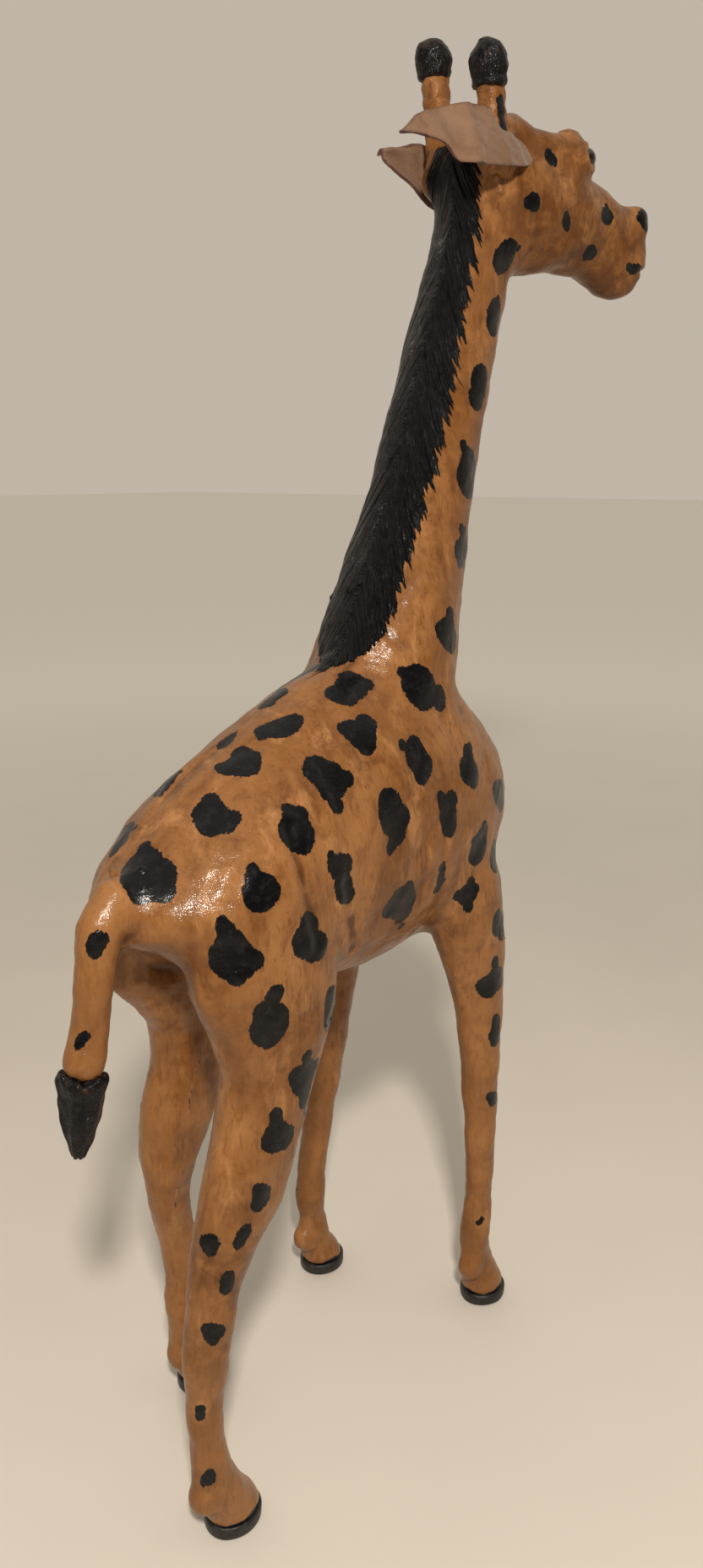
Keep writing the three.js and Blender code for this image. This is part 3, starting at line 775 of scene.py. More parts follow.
TAN = (0.196, 0.076, 0.019)
TAN_LIGHT = (0.310, 0.138, 0.046)
TAN_DEEP = (0.130, 0.043, 0.010)
TAN_PALE = (0.44, 0.21, 0.080)
AMBER = (0.062, 0.018, 0.004)
PAINT = (0.0022, 0.0022, 0.0027)
PAINT_WORN = (0.011, 0.011, 0.012)


def tan_base(f):
    """Oiled tan leather, mottled as hand-rubbed dye is."""
    broad = f.noise(15, 4, 0.55, 0.8)
    middle = f.noise(48, 5, 0.6, 0.6)
    small = f.noise(190, 4, 0.6)
    runs = f.noise(1.0, 4, 0.6, 0.3, f.stretch((95, 95, 16)))
    colour = f.blend(f.span(broad, 0.36, 0.66), TAN, TAN_LIGHT)
    colour = f.blend(f.span(middle, 0.50, 0.74, 0.0, 0.62), colour, TAN_DEEP)
    colour = f.blend(f.span(runs, 0.50, 0.74, 0.0, 0.55), colour, AMBER)
    colour = f.blend(f.span(small, 0.42, 0.62, 0.0, 0.22), colour, TAN_LIGHT)
    pale = f.noise(1.0, 5, 0.65, 0.5, f.stretch((60, 60, 24), (0.2, 0.1, 0.0)))
    colour = f.blend(f.span(pale, 0.54, 0.70, 0.0, 0.65), colour, TAN_PALE)
    fine = f.noise(1.0, 4, 0.7, 0.4, f.stretch((420, 420, 90)))
    colour = f.blend(f.span(fine, 0.50, 0.68, 0.0, 0.55), colour, TAN_DEEP)
    flecks = f.span(f.noise(620, 2, 0.5), 0.66, 0.74, 0.0, 0.45)
    return f.blend(flecks, colour, AMBER), middle, small


def grain(f, middle, small):
    """Fine pores, small wrinkles and the unevenness of leather pulled over wood."""
    pores = f.span(f.cells(1050), 0.05, 0.55)
    wrinkles = f.noise(1.0, 5, 0.62, 0.9, f.stretch((150, 150, 380)))
    height = f.math("MULTIPLY_ADD", pores, 0.10, f.math("MULTIPLY", wrinkles, 0.55))
    height = f.math("MULTIPLY_ADD", middle, 0.5, height)
    return f.math("MULTIPLY_ADD", small, 0.3, height)


def painted_leather():
    f = Finish("painted tan leather")
    colour, middle, small = tan_base(f)
    hollow = f.attribute("hollow")
    stain = f.math("MULTIPLY", f.attribute("stain"), f.span(f.noise(70, 5, 0.65, 0.5), 0.34, 0.6))
    colour = f.blend(f.math("MULTIPLY", stain, 0.85), colour, AMBER)
    cracks = f.span(f.cells(1.0, "DISTANCE_TO_EDGE", f.stretch((150, 150, 60))), 0.02, 0.09, 1.0, 0.0)
    cracks = f.math("MULTIPLY", cracks, f.span(f.noise(34, 3, 0.6), 0.50, 0.66))
    colour = f.blend(f.math("MULTIPLY", cracks, 0.26), colour, AMBER)
    # Painted shade: darker amber in the creases and hollows. Lighter on the ridges.
    colour = f.blend(f.span(hollow, 0.05, 0.75, 0.0, 0.8), colour, AMBER)
    colour = f.blend(f.span(hollow, -0.10, -0.7, 0.0, 0.35), colour, TAN_LIGHT)
    thread = f.span(f.attribute("thread"), 0.25, 0.6, 1.0, 0.0)
    colour = f.blend(f.math("MULTIPLY", thread, 0.6), colour, (0.42, 0.22, 0.10))
    wander = f.math("MULTIPLY_ADD", f.noise(60, 3), 2.4, -1.2)
    seam_gap = f.math("ABSOLUTE", f.math("ADD", f.attribute("seam"), wander))
    seam = f.span(seam_gap, 0.18, 0.6, 1.0, 0.0)
    lip = f.span(seam_gap, 0.4, 1.2, 1.0, 0.0)
    colour = f.blend(f.math("MULTIPLY", lip, 0.5), colour, (0.38, 0.19, 0.085))
    colour = f.blend(f.math("MULTIPLY", seam, 0.85), colour, (0.04, 0.014, 0.005))

    # Brush-laid black: the spots, the band round each hoof, and the mane
    ragged = f.math("MULTIPLY_ADD", f.noise(1.0, 4, 0.65, 0.4, f.stretch((620, 620, 260))), 3.8, -1.9)
    spot = f.span(f.math("ADD", f.attribute("spot"), ragged), -0.14, 0.14)
    uneven_band = f.math("MULTIPLY_ADD", f.noise(300, 3), 1.6, -0.8)
    band = f.span(f.math("ADD", f.attribute("band"), uneven_band), -0.2, 0.2)
    strand, length = f.attribute("strand"), f.attribute("length")
    fine = f.noise(1.0, 3, 0.6, 0.0, f.strands(strand, 1.15, length, 0.028, 0.0))
    coarse = f.noise(1.0, 2, 0.5, 0.0, f.strands(strand, 0.42, length, 0.016, 3.0))
    teeth = f.math("ADD", f.math("MULTIPLY_ADD", fine, 7.0, -3.8), f.math("MULTIPLY_ADD", coarse, 9.0, -4.5))
    mane = f.span(f.math("ADD", f.attribute("mane"), teeth), -0.2, 0.25)
    black = f.math("MAXIMUM", f.math("MAXIMUM", spot, band), mane)
    worn = f.span(f.noise(240, 4, 0.65), 0.5, 0.72)
    paint_colour = f.blend(worn, PAINT, PAINT_WORN)
    # Painted glints: a lighter brown laid along the ridges of the mane's strands
    painted_strand_glints = f.math("MULTIPLY", f.span(fine, 0.655, 0.70), f.span(f.noise(55, 2), 0.52, 0.62))
    painted_strand_glints = f.math("MULTIPLY", painted_strand_glints, mane)
    paint_colour = f.blend(f.math("MULTIPLY", painted_strand_glints, 0.75), paint_colour, (0.12, 0.06, 0.026))
    colour = f.blend(black, colour, paint_colour)

    skin_gloss = f.span(f.noise(85, 4, 0.6), 0.3, 0.7, 0.30, 0.47)
    paint_gloss = f.span(f.noise(170, 4, 0.6), 0.3, 0.7, 0.24, 0.46)
    gloss = f.math("ADD", f.math("MULTIPLY", skin_gloss, f.math("SUBTRACT", 1.0, black)),
                   f.math("MULTIPLY", paint_gloss, black))
    height = grain(f, middle, small)
    normal = f.bump(height, 0.0009, 0.5)
    normal = f.bump(black, 0.00012, 0.8, normal)
    lock = f.noise(1.0, 3, 0.6, 0.0, f.strands(strand, 0.30, length, 0.014, 7.0))
    hair = f.math("MULTIPLY", f.math("MULTIPLY_ADD", lock, 3.2, f.math("MULTIPLY_ADD", fine, 0.3, coarse)), mane)
    normal = f.bump(hair, 0.0048, 1.0, normal)
    normal = f.bump(f.math("SUBTRACT", lip, f.math("MULTIPLY", seam, 2.0)), 0.0004, 0.9, normal)
    normal = f.bump(thread, 0.0004, 0.8, normal)
    f.surface(Base_Color=colour, Roughness=gloss, Normal=normal, Coat_Normal=normal)
    f.surface(Specular_IOR_Level=0.08, Coat_Weight=0.34, Coat_Roughness=0.11)
    return f.material


def plain_tan_leather():
    """The same tan leather on the horn stems, with ring wrinkles."""
    f = Finish("wrinkled tan leather")
    colour, middle, small = tan_base(f)
    # Painted shade: darker amber in the creases of the wrap
    colour = f.blend(f.span(f.attribute("hollow"), 0.02, 0.35, 0.0, 0.8), colour, AMBER)
    streak = f.span(f.noise(1.0, 4, 0.6, 0.5, f.stretch((260, 260, 60))), 0.52, 0.66, 0.0, 0.55)
    colour = f.blend(streak, colour, AMBER)
    ragged = f.math("MULTIPLY_ADD", f.noise(260, 3), 4.0, -2.0)
    black = f.span(f.math("ADD", f.attribute("black"), ragged), -0.25, 0.25)
    colour = f.blend(black, colour, f.blend(f.noise(240, 4), PAINT, PAINT_WORN))
    normal = f.bump(grain(f, middle, small), 0.0012, 0.6)
    rings = f.noise(1.0, 3, 0.6, 0.6, f.stretch((120, 120, 520)))
    normal = f.bump(rings, 0.0012, 0.7, normal)
    f.surface(Base_Color=colour, Roughness=f.span(f.noise(120, 3), 0.3, 0.7, 0.30, 0.50), Normal=normal)
    f.surface(Specular_IOR_Level=0.12, Coat_Weight=0.20, Coat_Roughness=0.14, Coat_Normal=normal)
    return f.material


def black_leather():
    f = Finish("black painted leather")
    worn = f.span(f.noise(210, 5, 0.65, 0.5), 0.5, 0.72)
    colour = f.blend(worn, PAINT, PAINT_WORN)
    rub = f.math("MULTIPLY", f.span(f.attribute("hollow"), -0.12, -0.6), f.span(f.noise(330, 4), 0.5, 0.7))
    colour = f.blend(f.math("MULTIPLY", rub, 0.35), colour, (0.10, 0.045, 0.018))
    creases = f.noise(1.0, 5, 0.6, 1.2, f.stretch((170, 170, 110)))
    pores = f.span(f.cells(900), 0.05, 0.5)
    height = f.math("MULTIPLY_ADD", pores, 0.15, creases)
    normal = f.bump(height, 0.0022, 0.7)
    f.surface(Base_Color=colour, Roughness=f.span(f.noise(150, 4), 0.3, 0.7, 0.22, 0.45), Normal=normal)
    f.surface(Specular_IOR_Level=0.08, Coat_Weight=0.30, Coat_Roughness=0.11, Coat_Normal=normal)
    return f.material


def raw_leather():
    f = Finish("raw ear leather")
    broad, middle, nap = f.noise(40, 4, 0.6, 0.5), f.noise(150, 5, 0.65, 0.4), f.noise(1500, 3, 0.7)
    colour = f.blend(f.span(broad, 0.35, 0.65), (0.165, 0.088, 0.048), (0.215, 0.120, 0.070))
    colour = f.blend(f.span(middle, 0.5, 0.72, 0.0, 0.55), colour, (0.105, 0.050, 0.026))
    colour = f.blend(f.span(nap, 0.45, 0.62, 0.0, 0.22), colour, (0.27, 0.165, 0.105))
    rim = f.math("MULTIPLY", f.attribute("rim"), f.span(f.noise(260, 3), 0.35, 0.55, 0.6, 1.0))
    colour = f.blend(f.math("MULTIPLY", rim, 0.85), colour, (0.07, 0.018, 0.010))
    fibres = f.noise(1.0, 4, 0.7, 0.3, f.stretch((900, 350, 900)))
    height = f.math("MULTIPLY_ADD", nap, 0.5, fibres)
    normal = f.bump(f.math("MULTIPLY_ADD", middle, 1.2, height), 0.0007, 0.6)
    f.surface(Base_Color=colour, Roughness=f.span(middle, 0.3, 0.7, 0.66, 0.86), Normal=normal)
    f.surface(Sheen_Weight=0.25, Sheen_Roughness=0.4, Specular_IOR_Level=0.35)
    return f.material


def black_sole():
    f = Finish("black painted sole")
    worn = f.span(f.noise(190, 4, 0.65), 0.48, 0.7)
    colour = f.blend(worn, (0.006, 0.006, 0.006), (0.03, 0.028, 0.026))
    low = f.span(f.noise(1.0, 4, 0.6, 0.2, f.stretch((240, 240, 900))), 0.55, 0.7, 0.0, 0.4)
    colour = f.blend(low, colour, (0.075, 0.05, 0.032))
    normal = f.bump(f.noise(1.0, 4, 0.6, 0.2, f.stretch((300, 300, 900))), 0.0008, 0.5)
    f.surface(Base_Color=colour, Roughness=f.span(worn, 0, 1, 0.42, 0.62), Normal=normal)
    return f.material


def carved_wood(name, light, dark):
    f = Finish(name)
    rings = f.noise(1.0, 4, 0.55, 1.2, f.stretch((140, 140, 9)))
    pores = f.noise(1.0, 3, 0.6, 0.0, f.stretch((900, 900, 45)))
    colour = f.blend(f.span(rings, 0.35, 0.65), light, dark)
    colour = f.blend(f.span(pores, 0.56, 0.7, 0.0, 0.5), colour, tuple(v * 0.5 for v in dark))
    cuts = f.noise(1.0, 2, 0.4, 0.3, f.stretch((60, 60, 25)))
    normal = f.bump(f.math("MULTIPLY_ADD", cuts, 2.0, pores), 0.0008, 0.5)
    f.surface(Base_Color=colour, Roughness=f.span(rings, 0.3, 0.7, 0.55, 0.72), Normal=normal)
    return f.material


def eye_glass():
    f = Finish("dark eye glass")
    depth = f.noise(260, 2)
    colour = f.blend(f.span(depth, 0.3, 0.7), (0.004, 0.004, 0.004), (0.016, 0.010, 0.006))
    scratches = f.noise(1.0, 3, 0.6, 0.2, f.stretch((900, 900, 300)))
    f.surface(Base_Color=colour, Roughness=f.span(scratches, 0.4, 0.7, 0.05, 0.12))
    f.surface(Normal=f.bump(scratches, 0.0001, 0.15), Coat_Weight=0.6, Coat_Roughness=0.04)
    return f.material


def steel_wire():
    f = Finish("drawn steel wire")
    draw = f.noise(1.0, 3, 0.6, 0.0, f.stretch((2500, 2500, 90)))
    colour = f.blend(f.span(draw, 0.35, 0.65), (0.42, 0.42, 0.43), (0.58, 0.58, 0.59))
    f.surface(Base_Color=colour, Roughness=f.span(draw, 0.3, 0.7, 0.28, 0.42), Normal=f.bump(draw, 0.0002, 0.3))
    f.surface(Metallic=1.0)
    return f.material


PAINTED = painted_leather()
HORN_TAN = plain_tan_leather()
BLACK = black_leather()
EAR = raw_leather()
SOLE = black_sole()
CORE_WOOD = carved_wood("carved core wood", (0.50, 0.33, 0.17), (0.36, 0.21, 0.09))
PEG_WOOD = carved_wood("peg wood", (0.62, 0.46, 0.27), (0.47, 0.31, 0.15))
GLASS = eye_glass()
WIRE = steel_wire()


def dress(piece, material, slot, *nodes):
    """A finished piece gets its finish and its place on the frame, and the CAD nodes it stands for are hidden."""
    piece.data.materials.clear()
    piece.data.materials.append(material)
    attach(piece, "root")
    if nodes:
        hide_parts(*nodes)
    return piece


# ---------------------------------------------------------------- panels
# Where the legs' panels end: y and z of the seam, in millimetres
FRONT_LEG_TOP = [(-170, 260), (-20, 257)]
HIND_LEG_TOP = [(0, 254), (64, 270), (138, 304), (200, 304)]
FACINGS = ("face_x", "face_y", "face_z")     # each corner's outward way, kept for both walls of the leather


def below_line(y, z, line):
    return z < np.interp(y, [p[0] for p in line], [p[1] for p in line])


def which_panel(d):
    """The leather panel that each face belongs to, by the seams of the drawing."""
    x, y, z = d.T
    panel = np.full(len(d), "torso", dtype=object)
    panel[(np.abs(x) < 44) & (z < 300) & (y > -150) & (y < 110)] = "belly"
    panel[(past_line(d, WITHERS_LINE) > 0) & (y < 20) & (z > 405)] = "neck"
    front = (y > -170) & (y < -20) & (np.abs(x) > 14) & below_line(y, z, FRONT_LEG_TOP)
    hind = (y > 0) & (y < 160) & (np.abs(x) > 7) & below_line(y, z, HIND_LEG_TOP)
    panel[front & (x < 0)] = "front_right_leg"
    panel[front & (x > 0)] = "front_left_leg"
    panel[hind & (x < 0)] = "hind_right_leg"
    panel[hind & (x > 0)] = "hind_left_leg"
    panel[(y > 146) & (np.abs(x) < 16) & (z < 362)] = "tail"
    panel[head_share(d) > 0.6] = "head"
    return panel


def cut_panels(form):
    """Cuts the finished skin along its seams, and gives each panel the leather's thickness."""
    normal = normals_of(form)
    for k, name in enumerate(FACINGS):
        attribute(form, name, normal[:, k])
    panel = which_panel(drawing(face_centres(form)))
    panels = {}
    for name in sorted(set(panel)):
        mesh = form.data.copy()
        piece = bpy.data.objects.new(name + "_panel", mesh)
        bpy.context.scene.collection.objects.link(piece)
        pick(piece, panel != name, "FACE")
        bpy.ops.mesh.delete(type="FACE")
        done()
        outer = len(mesh.vertices)
        fit(piece, "SOLIDIFY", thickness=LEATHER_THICKNESS, offset=-1.0, use_even_offset=False, use_rim=True)
        smooth = np.stack([read(piece, n) for n in FACINGS], 1)
        smooth[outer:] *= -1
        take(piece)
        bpy.ops.object.shade_smooth()
        mesh = piece.data
        mesh.normals_split_custom_set_from_vertices(smooth.tolist())
        for n in FACINGS:
            mesh.attributes.remove(mesh.attributes[n])
        panels[name] = piece
    bpy.data.objects.remove(form)
    return panels


def read(piece, name):
    a = piece.data.attributes[name].data
    values = np.empty(len(a))
    a.foreach_get("value", values)
    return values


form = leather_form()
stretch_smooth(form)
finer_head(form)
sculpt(form)
clear_of_cores(form)
paint(form)
panels = cut_panels(form)
for name, piece in panels.items():
    dress(piece, PAINTED, "tan_leather", name + "_leather")

# ---------------------------------------------------------------- horns
# Each horn's foot and top: along the head, out to its right and up
HORNS = {
    "right": ((0, 20, 701), (-10, 22, 761)),
    "left": ((-7, -19, 710), (-15, -20, 770)),
}
# How far up the horn, and the radius there
STEM = [(-5, 4.0), (-2, 7.0), (1, 8.6), (4, 9.2), (8, 9.0), (13, 8.4), (18, 7.9), (24, 7.6), (29, 7.5), (35, 7.7),
        (44, 7.9)]
KNOB = {
    "right": [(39.5, 7.4), (40.3, 8.8), (42.5, 9.6), (45.5, 10.4), (49, 10.6), (53, 10.4), (56.5, 9.3), (59.5, 7.4),
              (61.8, 4.8), (63, 2.0)],
    "left": [(42, 7.4), (42.8, 8.6), (44.5, 9.4), (47.5, 10.2), (50.5, 10.5), (54, 10.1), (57.5, 8.8), (60.3, 6.6),
             (62.2, 4.0), (63.2, 1.8)],
}


def turned(name, foot, way, profile, sides=48):
    """A round piece drawn up ring by ring along way, with closed ends."""
    way = way.normalized()
    tilt = way.to_track_quat("Z", "Y")
    h, r = profile[0]
    clear()
    bpy.ops.mesh.primitive_circle_add(vertices=sides, radius=r / 1000, fill_type="TRIFAN",
                                      location=foot + way * h / 1000, rotation=tilt.to_euler())
    piece = bpy.context.object
    piece.name = piece.data.name = name
    freeze(piece)
    edit(piece)
    face_outwards()
    heights, radii = zip(*profile)
    rings = []
    for a, b in zip(heights[:-1], heights[1:]):
        n = max(1, round((b - a) / RING_STEP))
        rings += [a + (b - a) * (k + 1) / n for k in range(n)]
    last_h, last_r = h, r
    for height in rings:
        radius = float(np.interp(height, heights, radii))
        bpy.ops.mesh.extrude_region_move(TRANSFORM_OT_translate={"value": way * (height - last_h) / 1000})
        bpy.ops.transform.resize(value=(radius / last_r,) * 3, center_override=foot + way * height / 1000)
        last_h, last_r = height, radius
    face_outwards()
    done()
    take(piece)
    bpy.ops.object.shade_smooth()
    return piece


def hollow_of(piece, steps=10):
    """How deep each corner lies in a crease, in millimetres; the tan finish paints shade into the creases from it."""
    co, edges = points_of(piece), edges_of(piece)
    soft = relax(co, edges, steps, np.full(len(co), 0.5))
    attribute(piece, "hollow", ((soft - co) * normals_of(piece)).sum(1) * 1000)


def up_from(co, foot, way):
    """How far up the piece each point is, in millimetres."""
    return (co - np.array(foot)) @ np.array(way) * 1000


FORWARD = np.array([-0.31, -0.95, 0])     # the way the muzzle points

for side, (foot, top) in HORNS.items():
    foot, top = on_head(*foot), on_head(*top)
    way = (top - foot).normalized()
    start = KNOB[side][0][0]

    # The stem is wrapped unevenly, and flares forward into the head at its foot
    stem = turned(side + "_horn_stem", foot, way, STEM)
    co = points_of(stem)
    d, foot_d, up = drawing(co), drawing(foot), up_from(co, foot, way)
    around = np.arctan2(d[:, 1] - foot_d[1], d[:, 0] - foot_d[0])
    wave = 0.35 * np.sin(5 * around + 0.12 * up + 1.0)
    wave = wave + 0.3 * np.sin(up * 0.8 + 2.2 * np.sin(2 * around)) * ramp(up, 2, 9)
    flare = 4.2 * ramp(up, 20, 4) * ramp((d @ FORWARD) - (foot_d @ FORWARD), -2, 9)
    set_points(stem, co + normals_of(stem) * (wave + flare)[:, None] / 1000)
    hollow_of(stem)
    drip = [drawing(foot + way * 0.031 + Vector((-0.0075, 0.002, 0))),
            drawing(foot + way * 0.006 + Vector((-0.009, 0.001, 0)))]
    streak = 3.4 - line_gap(drawing(points_of(stem)), drip) if side == "right" else -9
    attribute(stem, "black", np.maximum(up - start - 1, streak))
    dress(stem, HORN_TAN, "tan_leather", side + "_horn")

    # The knob is lumpy, with a raised rim and a groove above it
    knob = turned(side + "_horn_knob", foot, way, KNOB[side])
    co = points_of(knob)
    d, up = drawing(co), up_from(co, foot, way)
    push = 0.55 * uneven(d, 14, 3 if side == "right" else 8) + 0.25 * uneven(d, 6, 4)
    push += 0.6 * np.exp(-(((up - start - 1.5) / 1.4) ** 2)) - 0.5 * np.exp(-(((up - start - 5) / 2) ** 2))
    set_points(knob, co + normals_of(knob) * push[:, None] / 1000)
    hollow_of(knob)
    dress(knob, BLACK, "black_leather", side + "_horn_tip")

# ---------------------------------------------------------------- eyes
for side, right in (("right", 1), ("left", -1)):
    middle = off_drawing(eye_middle(right))
    eye = lump(middle, (5.0, 6.2, 6.2), (0, 0, -HEAD_TURN_DEGREES))
    eye.name = eye.data.name = side + "_eyeball"
    co = points_of(eye)
    out = np.array(on_head(0, right, 0) - on_head(0, 0, 0))
    out /= np.linalg.norm(out)
    rel = (co - middle) * 1000
    share = np.clip(rel @ out / 5.2, 0, 1)
    set_points(eye, co + np.outer(0.7 * share ** 4, out) / 1000)
    take(eye)
    bpy.ops.object.shade_smooth()
    dress(eye, GLASS, "eye_glass", side + "_eye")

# ---------------------------------------------------------------- ears
# Each ear's cut: along the head, how far out, and the heights of its lower and upper edge
RIGHT_EAR = [
    (35, 18.5, 709.5, 711), (31, 20, 707, 713.5), (25, 22, 705, 717), (17, 25.7, 702.6, 720.5),
    (9, 29.5, 700.6, 723.5), (2, 32, 699.6, 725.6), (-6, 34.5, 698.2, 727),
    (-14, 35.5, 697.2, 727.8), (-22, 35.8, 696.4, 727.8), (-29, 36, 696, 727.2), (-36, 34, 696.4, 726),
    (-39.5, 32.6, 698.6, 725.2), (-42, 31.6, 701.6, 724.4), (-46, 30.4, 704.4, 723.2), (-52, 29, 706.3, 721),
    (-58, 27.6, 707.2, 718), (-64, 26.4, 707.6, 714.2), (-69, 25.4, 707.7, 710.6), (-72, 25, 707.5, 708.4),
]
LEFT_EAR = [
    (6, -22, 690, 699), (4.5, -26, 687, 704), (1, -29, 685.5, 710), (-3, -31.5, 686, 715.5), (-7, -33.5, 688.5, 720),
    (-11, -34.5, 692.5, 722.5), (-16, -35, 697, 723.4), (-20, -35.6, 699.6, 723), (-26, -35.8, 702.4, 721.8),
    (-31, -35.4, 705.2, 720.4), (-34.5, -35, 707.4, 718.8), (-37, -34.6, 711, 717.4),
]


def ear(name, cut, side):
    """A sheet of raw leather cut to shape, folded and cupped, with its cut edge left open."""
    clear()
    bpy.ops.mesh.primitive_grid_add(x_subdivisions=72, y_subdivisions=34, size=1, location=(0, 0, 0))
    piece = bpy.context.object
    piece.name = piece.data.name = name
    co = points_of(piece)
    u, v = co[:, 0] + 0.5, co[:, 1] + 0.5
    v = v + 0.10 * np.sin(2 * math.pi * v) * -0.6
    cut = np.array(cut, float)
    run = np.linspace(0, 1, len(cut))
    along, out, low, high = (np.interp(u, run, cut[:, k]) for k in range(4))
    z = low + (high - low) * v
    across = v - 0.5
    tall = high - low
    if side > 0:
        out = out - 9.0 * ramp(v, 0.25, 1.0) * ramp(tall, 2, 26) + 1.5 * ramp(v, 0.4, 0.0)
        out = out + 2.4 * np.exp(-(((along + 29 + 5 * across) / 4.5) ** 2)) * ramp(tall, 6, 24)
        out = out - 1.6 * np.exp(-(((along + 38) / 5) ** 2)) * (1 - v)
        along = along + 1.4 * np.sin(z * 0.33) * ramp(-along, 10, 50)
    else:
        out = out + 5.0 * (4 * across ** 2) * ramp(tall, 4, 14) - 2.0
        rim = ramp(v, 0.72, 0.98) * ramp(u, 0.25, 0.7)
        out = out - 5.0 * rim
        z = z - 3.4 * rim ** 2
    out = out + 0.35 * side * np.sin(along * 0.45 + z * 0.21) + 0.2 * np.sin(z * 0.9 + along * 0.3)
    place = np.array([tuple(on_head(a, o, h)) for a, o, h in zip(along, out, z)])
    set_points(piece, place)
    edge = np.minimum.reduce([u * 60, (1 - u) * 40, v * tall, (1 - v) * tall])
    attribute(piece, "rim", np.exp(-np.clip(edge, 0, 50) / 0.5))
    fit(piece, "SOLIDIFY", thickness=EAR_THICKNESS, offset=0.0, use_even_offset=False, use_rim=True)
    edit(piece)
    face_outwards()
    done()
    take(piece)
    bpy.ops.object.shade_smooth_by_angle(angle=math.radians(50))
    return dress(piece, EAR, "raw_leather", name.replace("_sheet", ""))


ear("right_ear_sheet", RIGHT_EAR, 1)
ear("left_ear_sheet", LEFT_EAR, -1)

# ---------------------------------------------------------------- tail tuft
tuft_top = at(0, 171.0, 270.5)
tuft_way = at(0, 176.2, 230) - tuft_top
TUFT = [(-0.5, 10.4), (0.4, 11.4), (3, 11.6), (6, 10.8), (9, 9.8), (14, 9.4), (20, 8.3), (26, 6.9), (32, 5.3),
        (37, 4.1), (40, 3.1), (41, 1.8)]
tuft = turned("tail_tuft_wrap", tuft_top, tuft_way, TUFT, sides=72)
co = points_of(tuft)
d = drawing(co)
down = (co - np.array(tuft_top)) @ np.array(tuft_way.normalized()) * 1000
turn_of = np.arctan2(d[:, 1] - np.interp(down, [0, 41], [171, 176.2]), d[:, 0])
jag = 1.0 * np.sin(3 * turn_of + 0.6) + 0.6 * np.sin(7 * turn_of + 2) + 0.6 * np.sin(13 * turn_of)
drop = jag * ramp(down, 9, 0)
pleat = 0.55 * np.sin(6 * turn_of + 0.10 * down) * ramp(down, 2, 12) + 0.35 * uneven(d, 11, 9)
step = 0.9 * ramp(np.sin(2 * turn_of + 0.9), -0.05, 0.05) * ramp(down, 36, 20)
co = co + np.outer(drop / 1000, np.array(tuft_way.normalized()))
set_points(tuft, co + normals_of(tuft) * ((pleat + step) * ramp(down, -0.5, 2))[:, None] / 1000)
hollow_of(tuft)
dress(tuft, BLACK, "black_leather", "tail_tuft")

# ---------------------------------------------------------------- soles
for leg in LEGS:
    low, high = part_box(leg + "_sole")
    middle = (low + high) / 2
    clear()
    bpy.ops.mesh.primitive_cylinder_add(vertices=64, radius=0.5, depth=1.0, location=middle)
    sole = bpy.context.object
    sole.name = sole.data.name = leg + "_hoof_sole"
    sole.scale = ((high.x - low.x) * 0.985, (high.y - low.y) * 0.985, high.z - low.z + 0.0008)
    sole.location.z += 0.0004
    freeze(sole)
    fit(sole, "BEVEL", width=0.0014, segments=3, limit_method="ANGLE")
    edit(sole)
    bpy.ops.mesh.select_all(action="SELECT")
    bpy.ops.mesh.subdivide(number_cuts=1)
    done()
    co = points_of(sole)
    d = drawing(co)
    grow = 1 + 0.012 * uneven(d, 17, 2)
    new = co.copy()
    new[:, :2] = np.array(middle)[:2] + (co[:, :2] - np.array(middle)[:2]) * grow[:, None]
    set_points(sole, new)
    take(sole)
    bpy.ops.object.shade_smooth_by_angle(angle=math.radians(40))
    dress(sole, SOLE, "black_sole", leg + "_sole")

# ---------------------------------------------------------------- carried-over parts
for name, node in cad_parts.items():
    if node.hide_render:
        continue
    if name.endswith("_peg"):
        material = PEG_WOOD
    elif name.endswith("_core"):
        material = CORE_WOOD
    else:
        material = WIRE
    node.data.materials.clear()
    node.data.materials.append(material)

# ---------------------------------------------------------------- stage, light and camera
def card(name, size, middle, colour, painted_far_light, rough):
    clear()
    bpy.ops.mesh.primitive_plane_add(size=size, location=middle)
    piece = bpy.context.object
    piece.name = name
    f = Finish(name + " finish")
    tone = f.blend(f.span(f.noise(6, 4), 0.3, 0.7), colour, tuple(v * 0.97 for v in colour))
    reach = f.tree.nodes.new("ShaderNodeVectorMath")
    reach.operation = "LENGTH"
    f.set(reach.inputs[0], f.place)
    # Painted light: the floor's colour pales further from the middle, making up for the lamps' falloff
    tone = f.blend(f.span(reach.outputs["Value"], 0.6, 2.6), tone, painted_far_light)
    f.surface(Base_Color=tone, Roughness=rough, Normal=f.bump(f.noise(260, 3), 0.0004, 0.3))
    piece.data.materials.append(f.material)
    return piece


card("floor", 40.0, (0, 0, 0), (0.70, 0.645, 0.565), (0.97, 0.91, 0.81), 0.7)

scene = bpy.context.scene
scene.view_settings.view_transform = "Standard"
world = bpy.data.worlds.new("studio")
scene.world = world
world.use_nodes = True
nodes, links = world.node_tree.nodes, world.node_tree.links


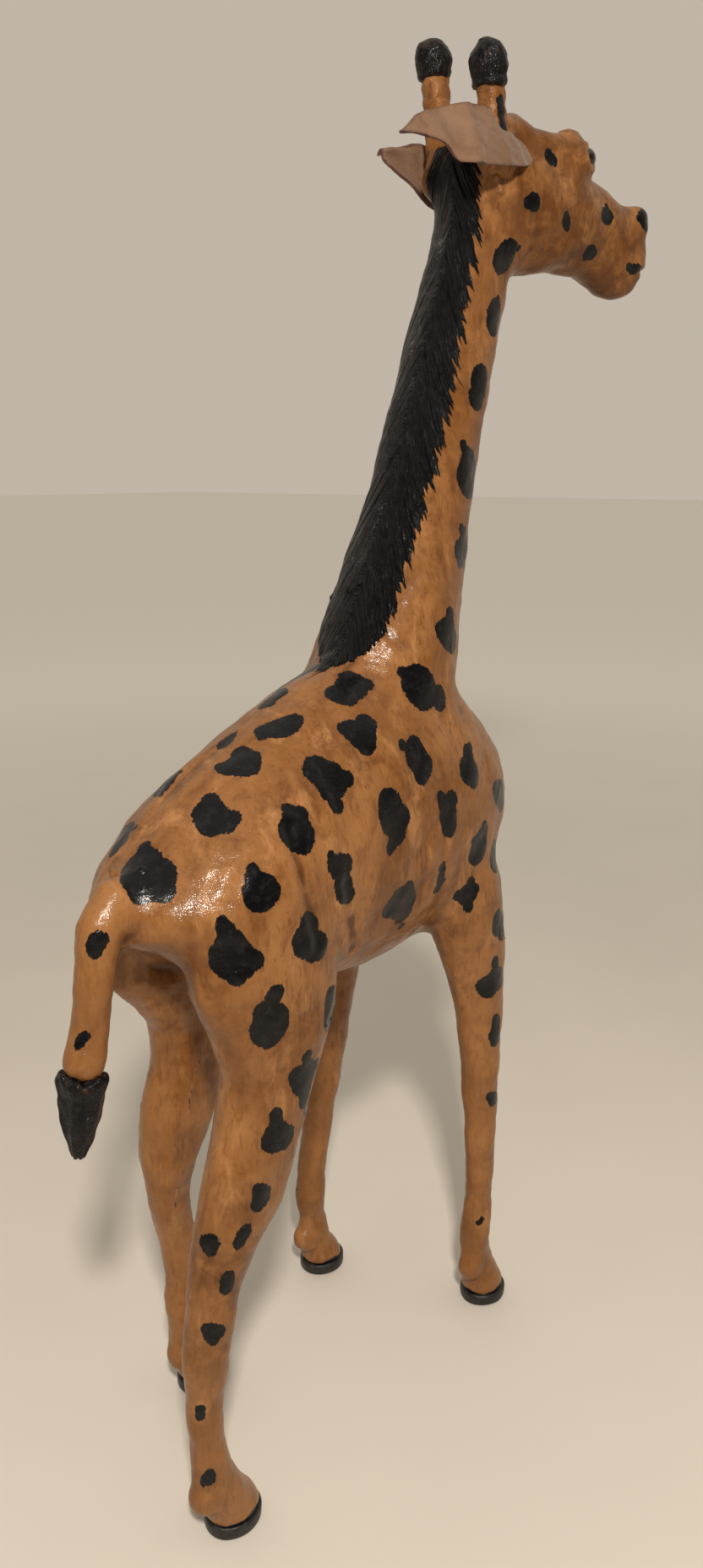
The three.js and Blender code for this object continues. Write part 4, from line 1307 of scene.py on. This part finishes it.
def between(value, low, high, first, second):
    """A colour that turns from first to second as value goes from low to high."""
    share, mix = nodes.new("ShaderNodeMapRange"), nodes.new("ShaderNodeMix")
    share.interpolation_type = "SMOOTHSTEP"
    share.inputs[1].default_value, share.inputs[2].default_value = low, high
    mix.data_type = "RGBA"
    links.new(value, share.inputs[0])
    links.new(share.outputs[0], mix.inputs[0])
    for socket, colour in ((mix.inputs[6], first), (mix.inputs[7], second)):
        if isinstance(colour, tuple):
            socket.default_value = (*colour, 1.0)
        else:
            links.new(colour, socket)
    return mix.outputs[2]


# Dim behind the camera, a pale wall ahead and a paler ceiling
way = nodes.new("ShaderNodeTexCoord").outputs["Generated"]
facing = nodes.new("ShaderNodeVectorMath")
facing.operation = "DOT_PRODUCT"
facing.inputs[1].default_value = (0.60, -0.80, 0.0)
links.new(way, facing.inputs[0])
parts_of_way = nodes.new("ShaderNodeSeparateXYZ")
links.new(way, parts_of_way.inputs[0])
wall = between(facing.outputs["Value"], -0.5, 0.8, (0.11, 0.10, 0.09), (0.53, 0.465, 0.385))
room = between(parts_of_way.outputs["Z"], 0.42, 0.85, wall, (0.64, 0.595, 0.53))
links.new(room, nodes["Background"].inputs[0])
nodes["Background"].inputs[1].default_value = 1.0

AZIMUTH, PITCH = math.radians(217), math.radians(15)
BACK = Vector((math.sin(AZIMUTH) * math.cos(PITCH), -math.cos(AZIMUTH) * math.cos(PITCH), math.sin(PITCH)))
EYE = STAND + Vector((-0.3910, 0.4853, 0.5385))


def lamp(name, place, aim, size, power, colour):
    clear()
    bpy.ops.object.light_add(type="AREA", location=place)
    light = bpy.context.object
    light.name = name
    light.data.size = size
    light.data.energy = power
    light.data.color = colour
    light.rotation_euler = (place - aim).to_track_quat("Z", "Y").to_euler()
    return light


RIGHT_OF_VIEW = BACK.cross(Vector((0, 0, -1))).normalized()
MIDDLE = (CAD_BOX[0] + CAD_BOX[1]) / 2
KEY_PLACE = EYE + BACK * 0.40 + RIGHT_OF_VIEW * 0.06 + Vector((0, 0, 0.50))
lamp("key", KEY_PLACE, MIDDLE, size=0.10, power=17.0, colour=(1.0, 0.93, 0.84))

camera_data = bpy.data.cameras.new("camera")
camera = bpy.data.objects.new("camera", camera_data)
scene.collection.objects.link(camera)
camera.location = EYE
camera.rotation_mode = "QUATERNION"
camera.rotation_quaternion = (-BACK).to_track_quat("-Z", "Y")
camera_data.sensor_width = 36.0
camera_data.lens = 27.04
camera_data.clip_start, camera_data.clip_end = 0.02, 60.0
scene.camera = camera
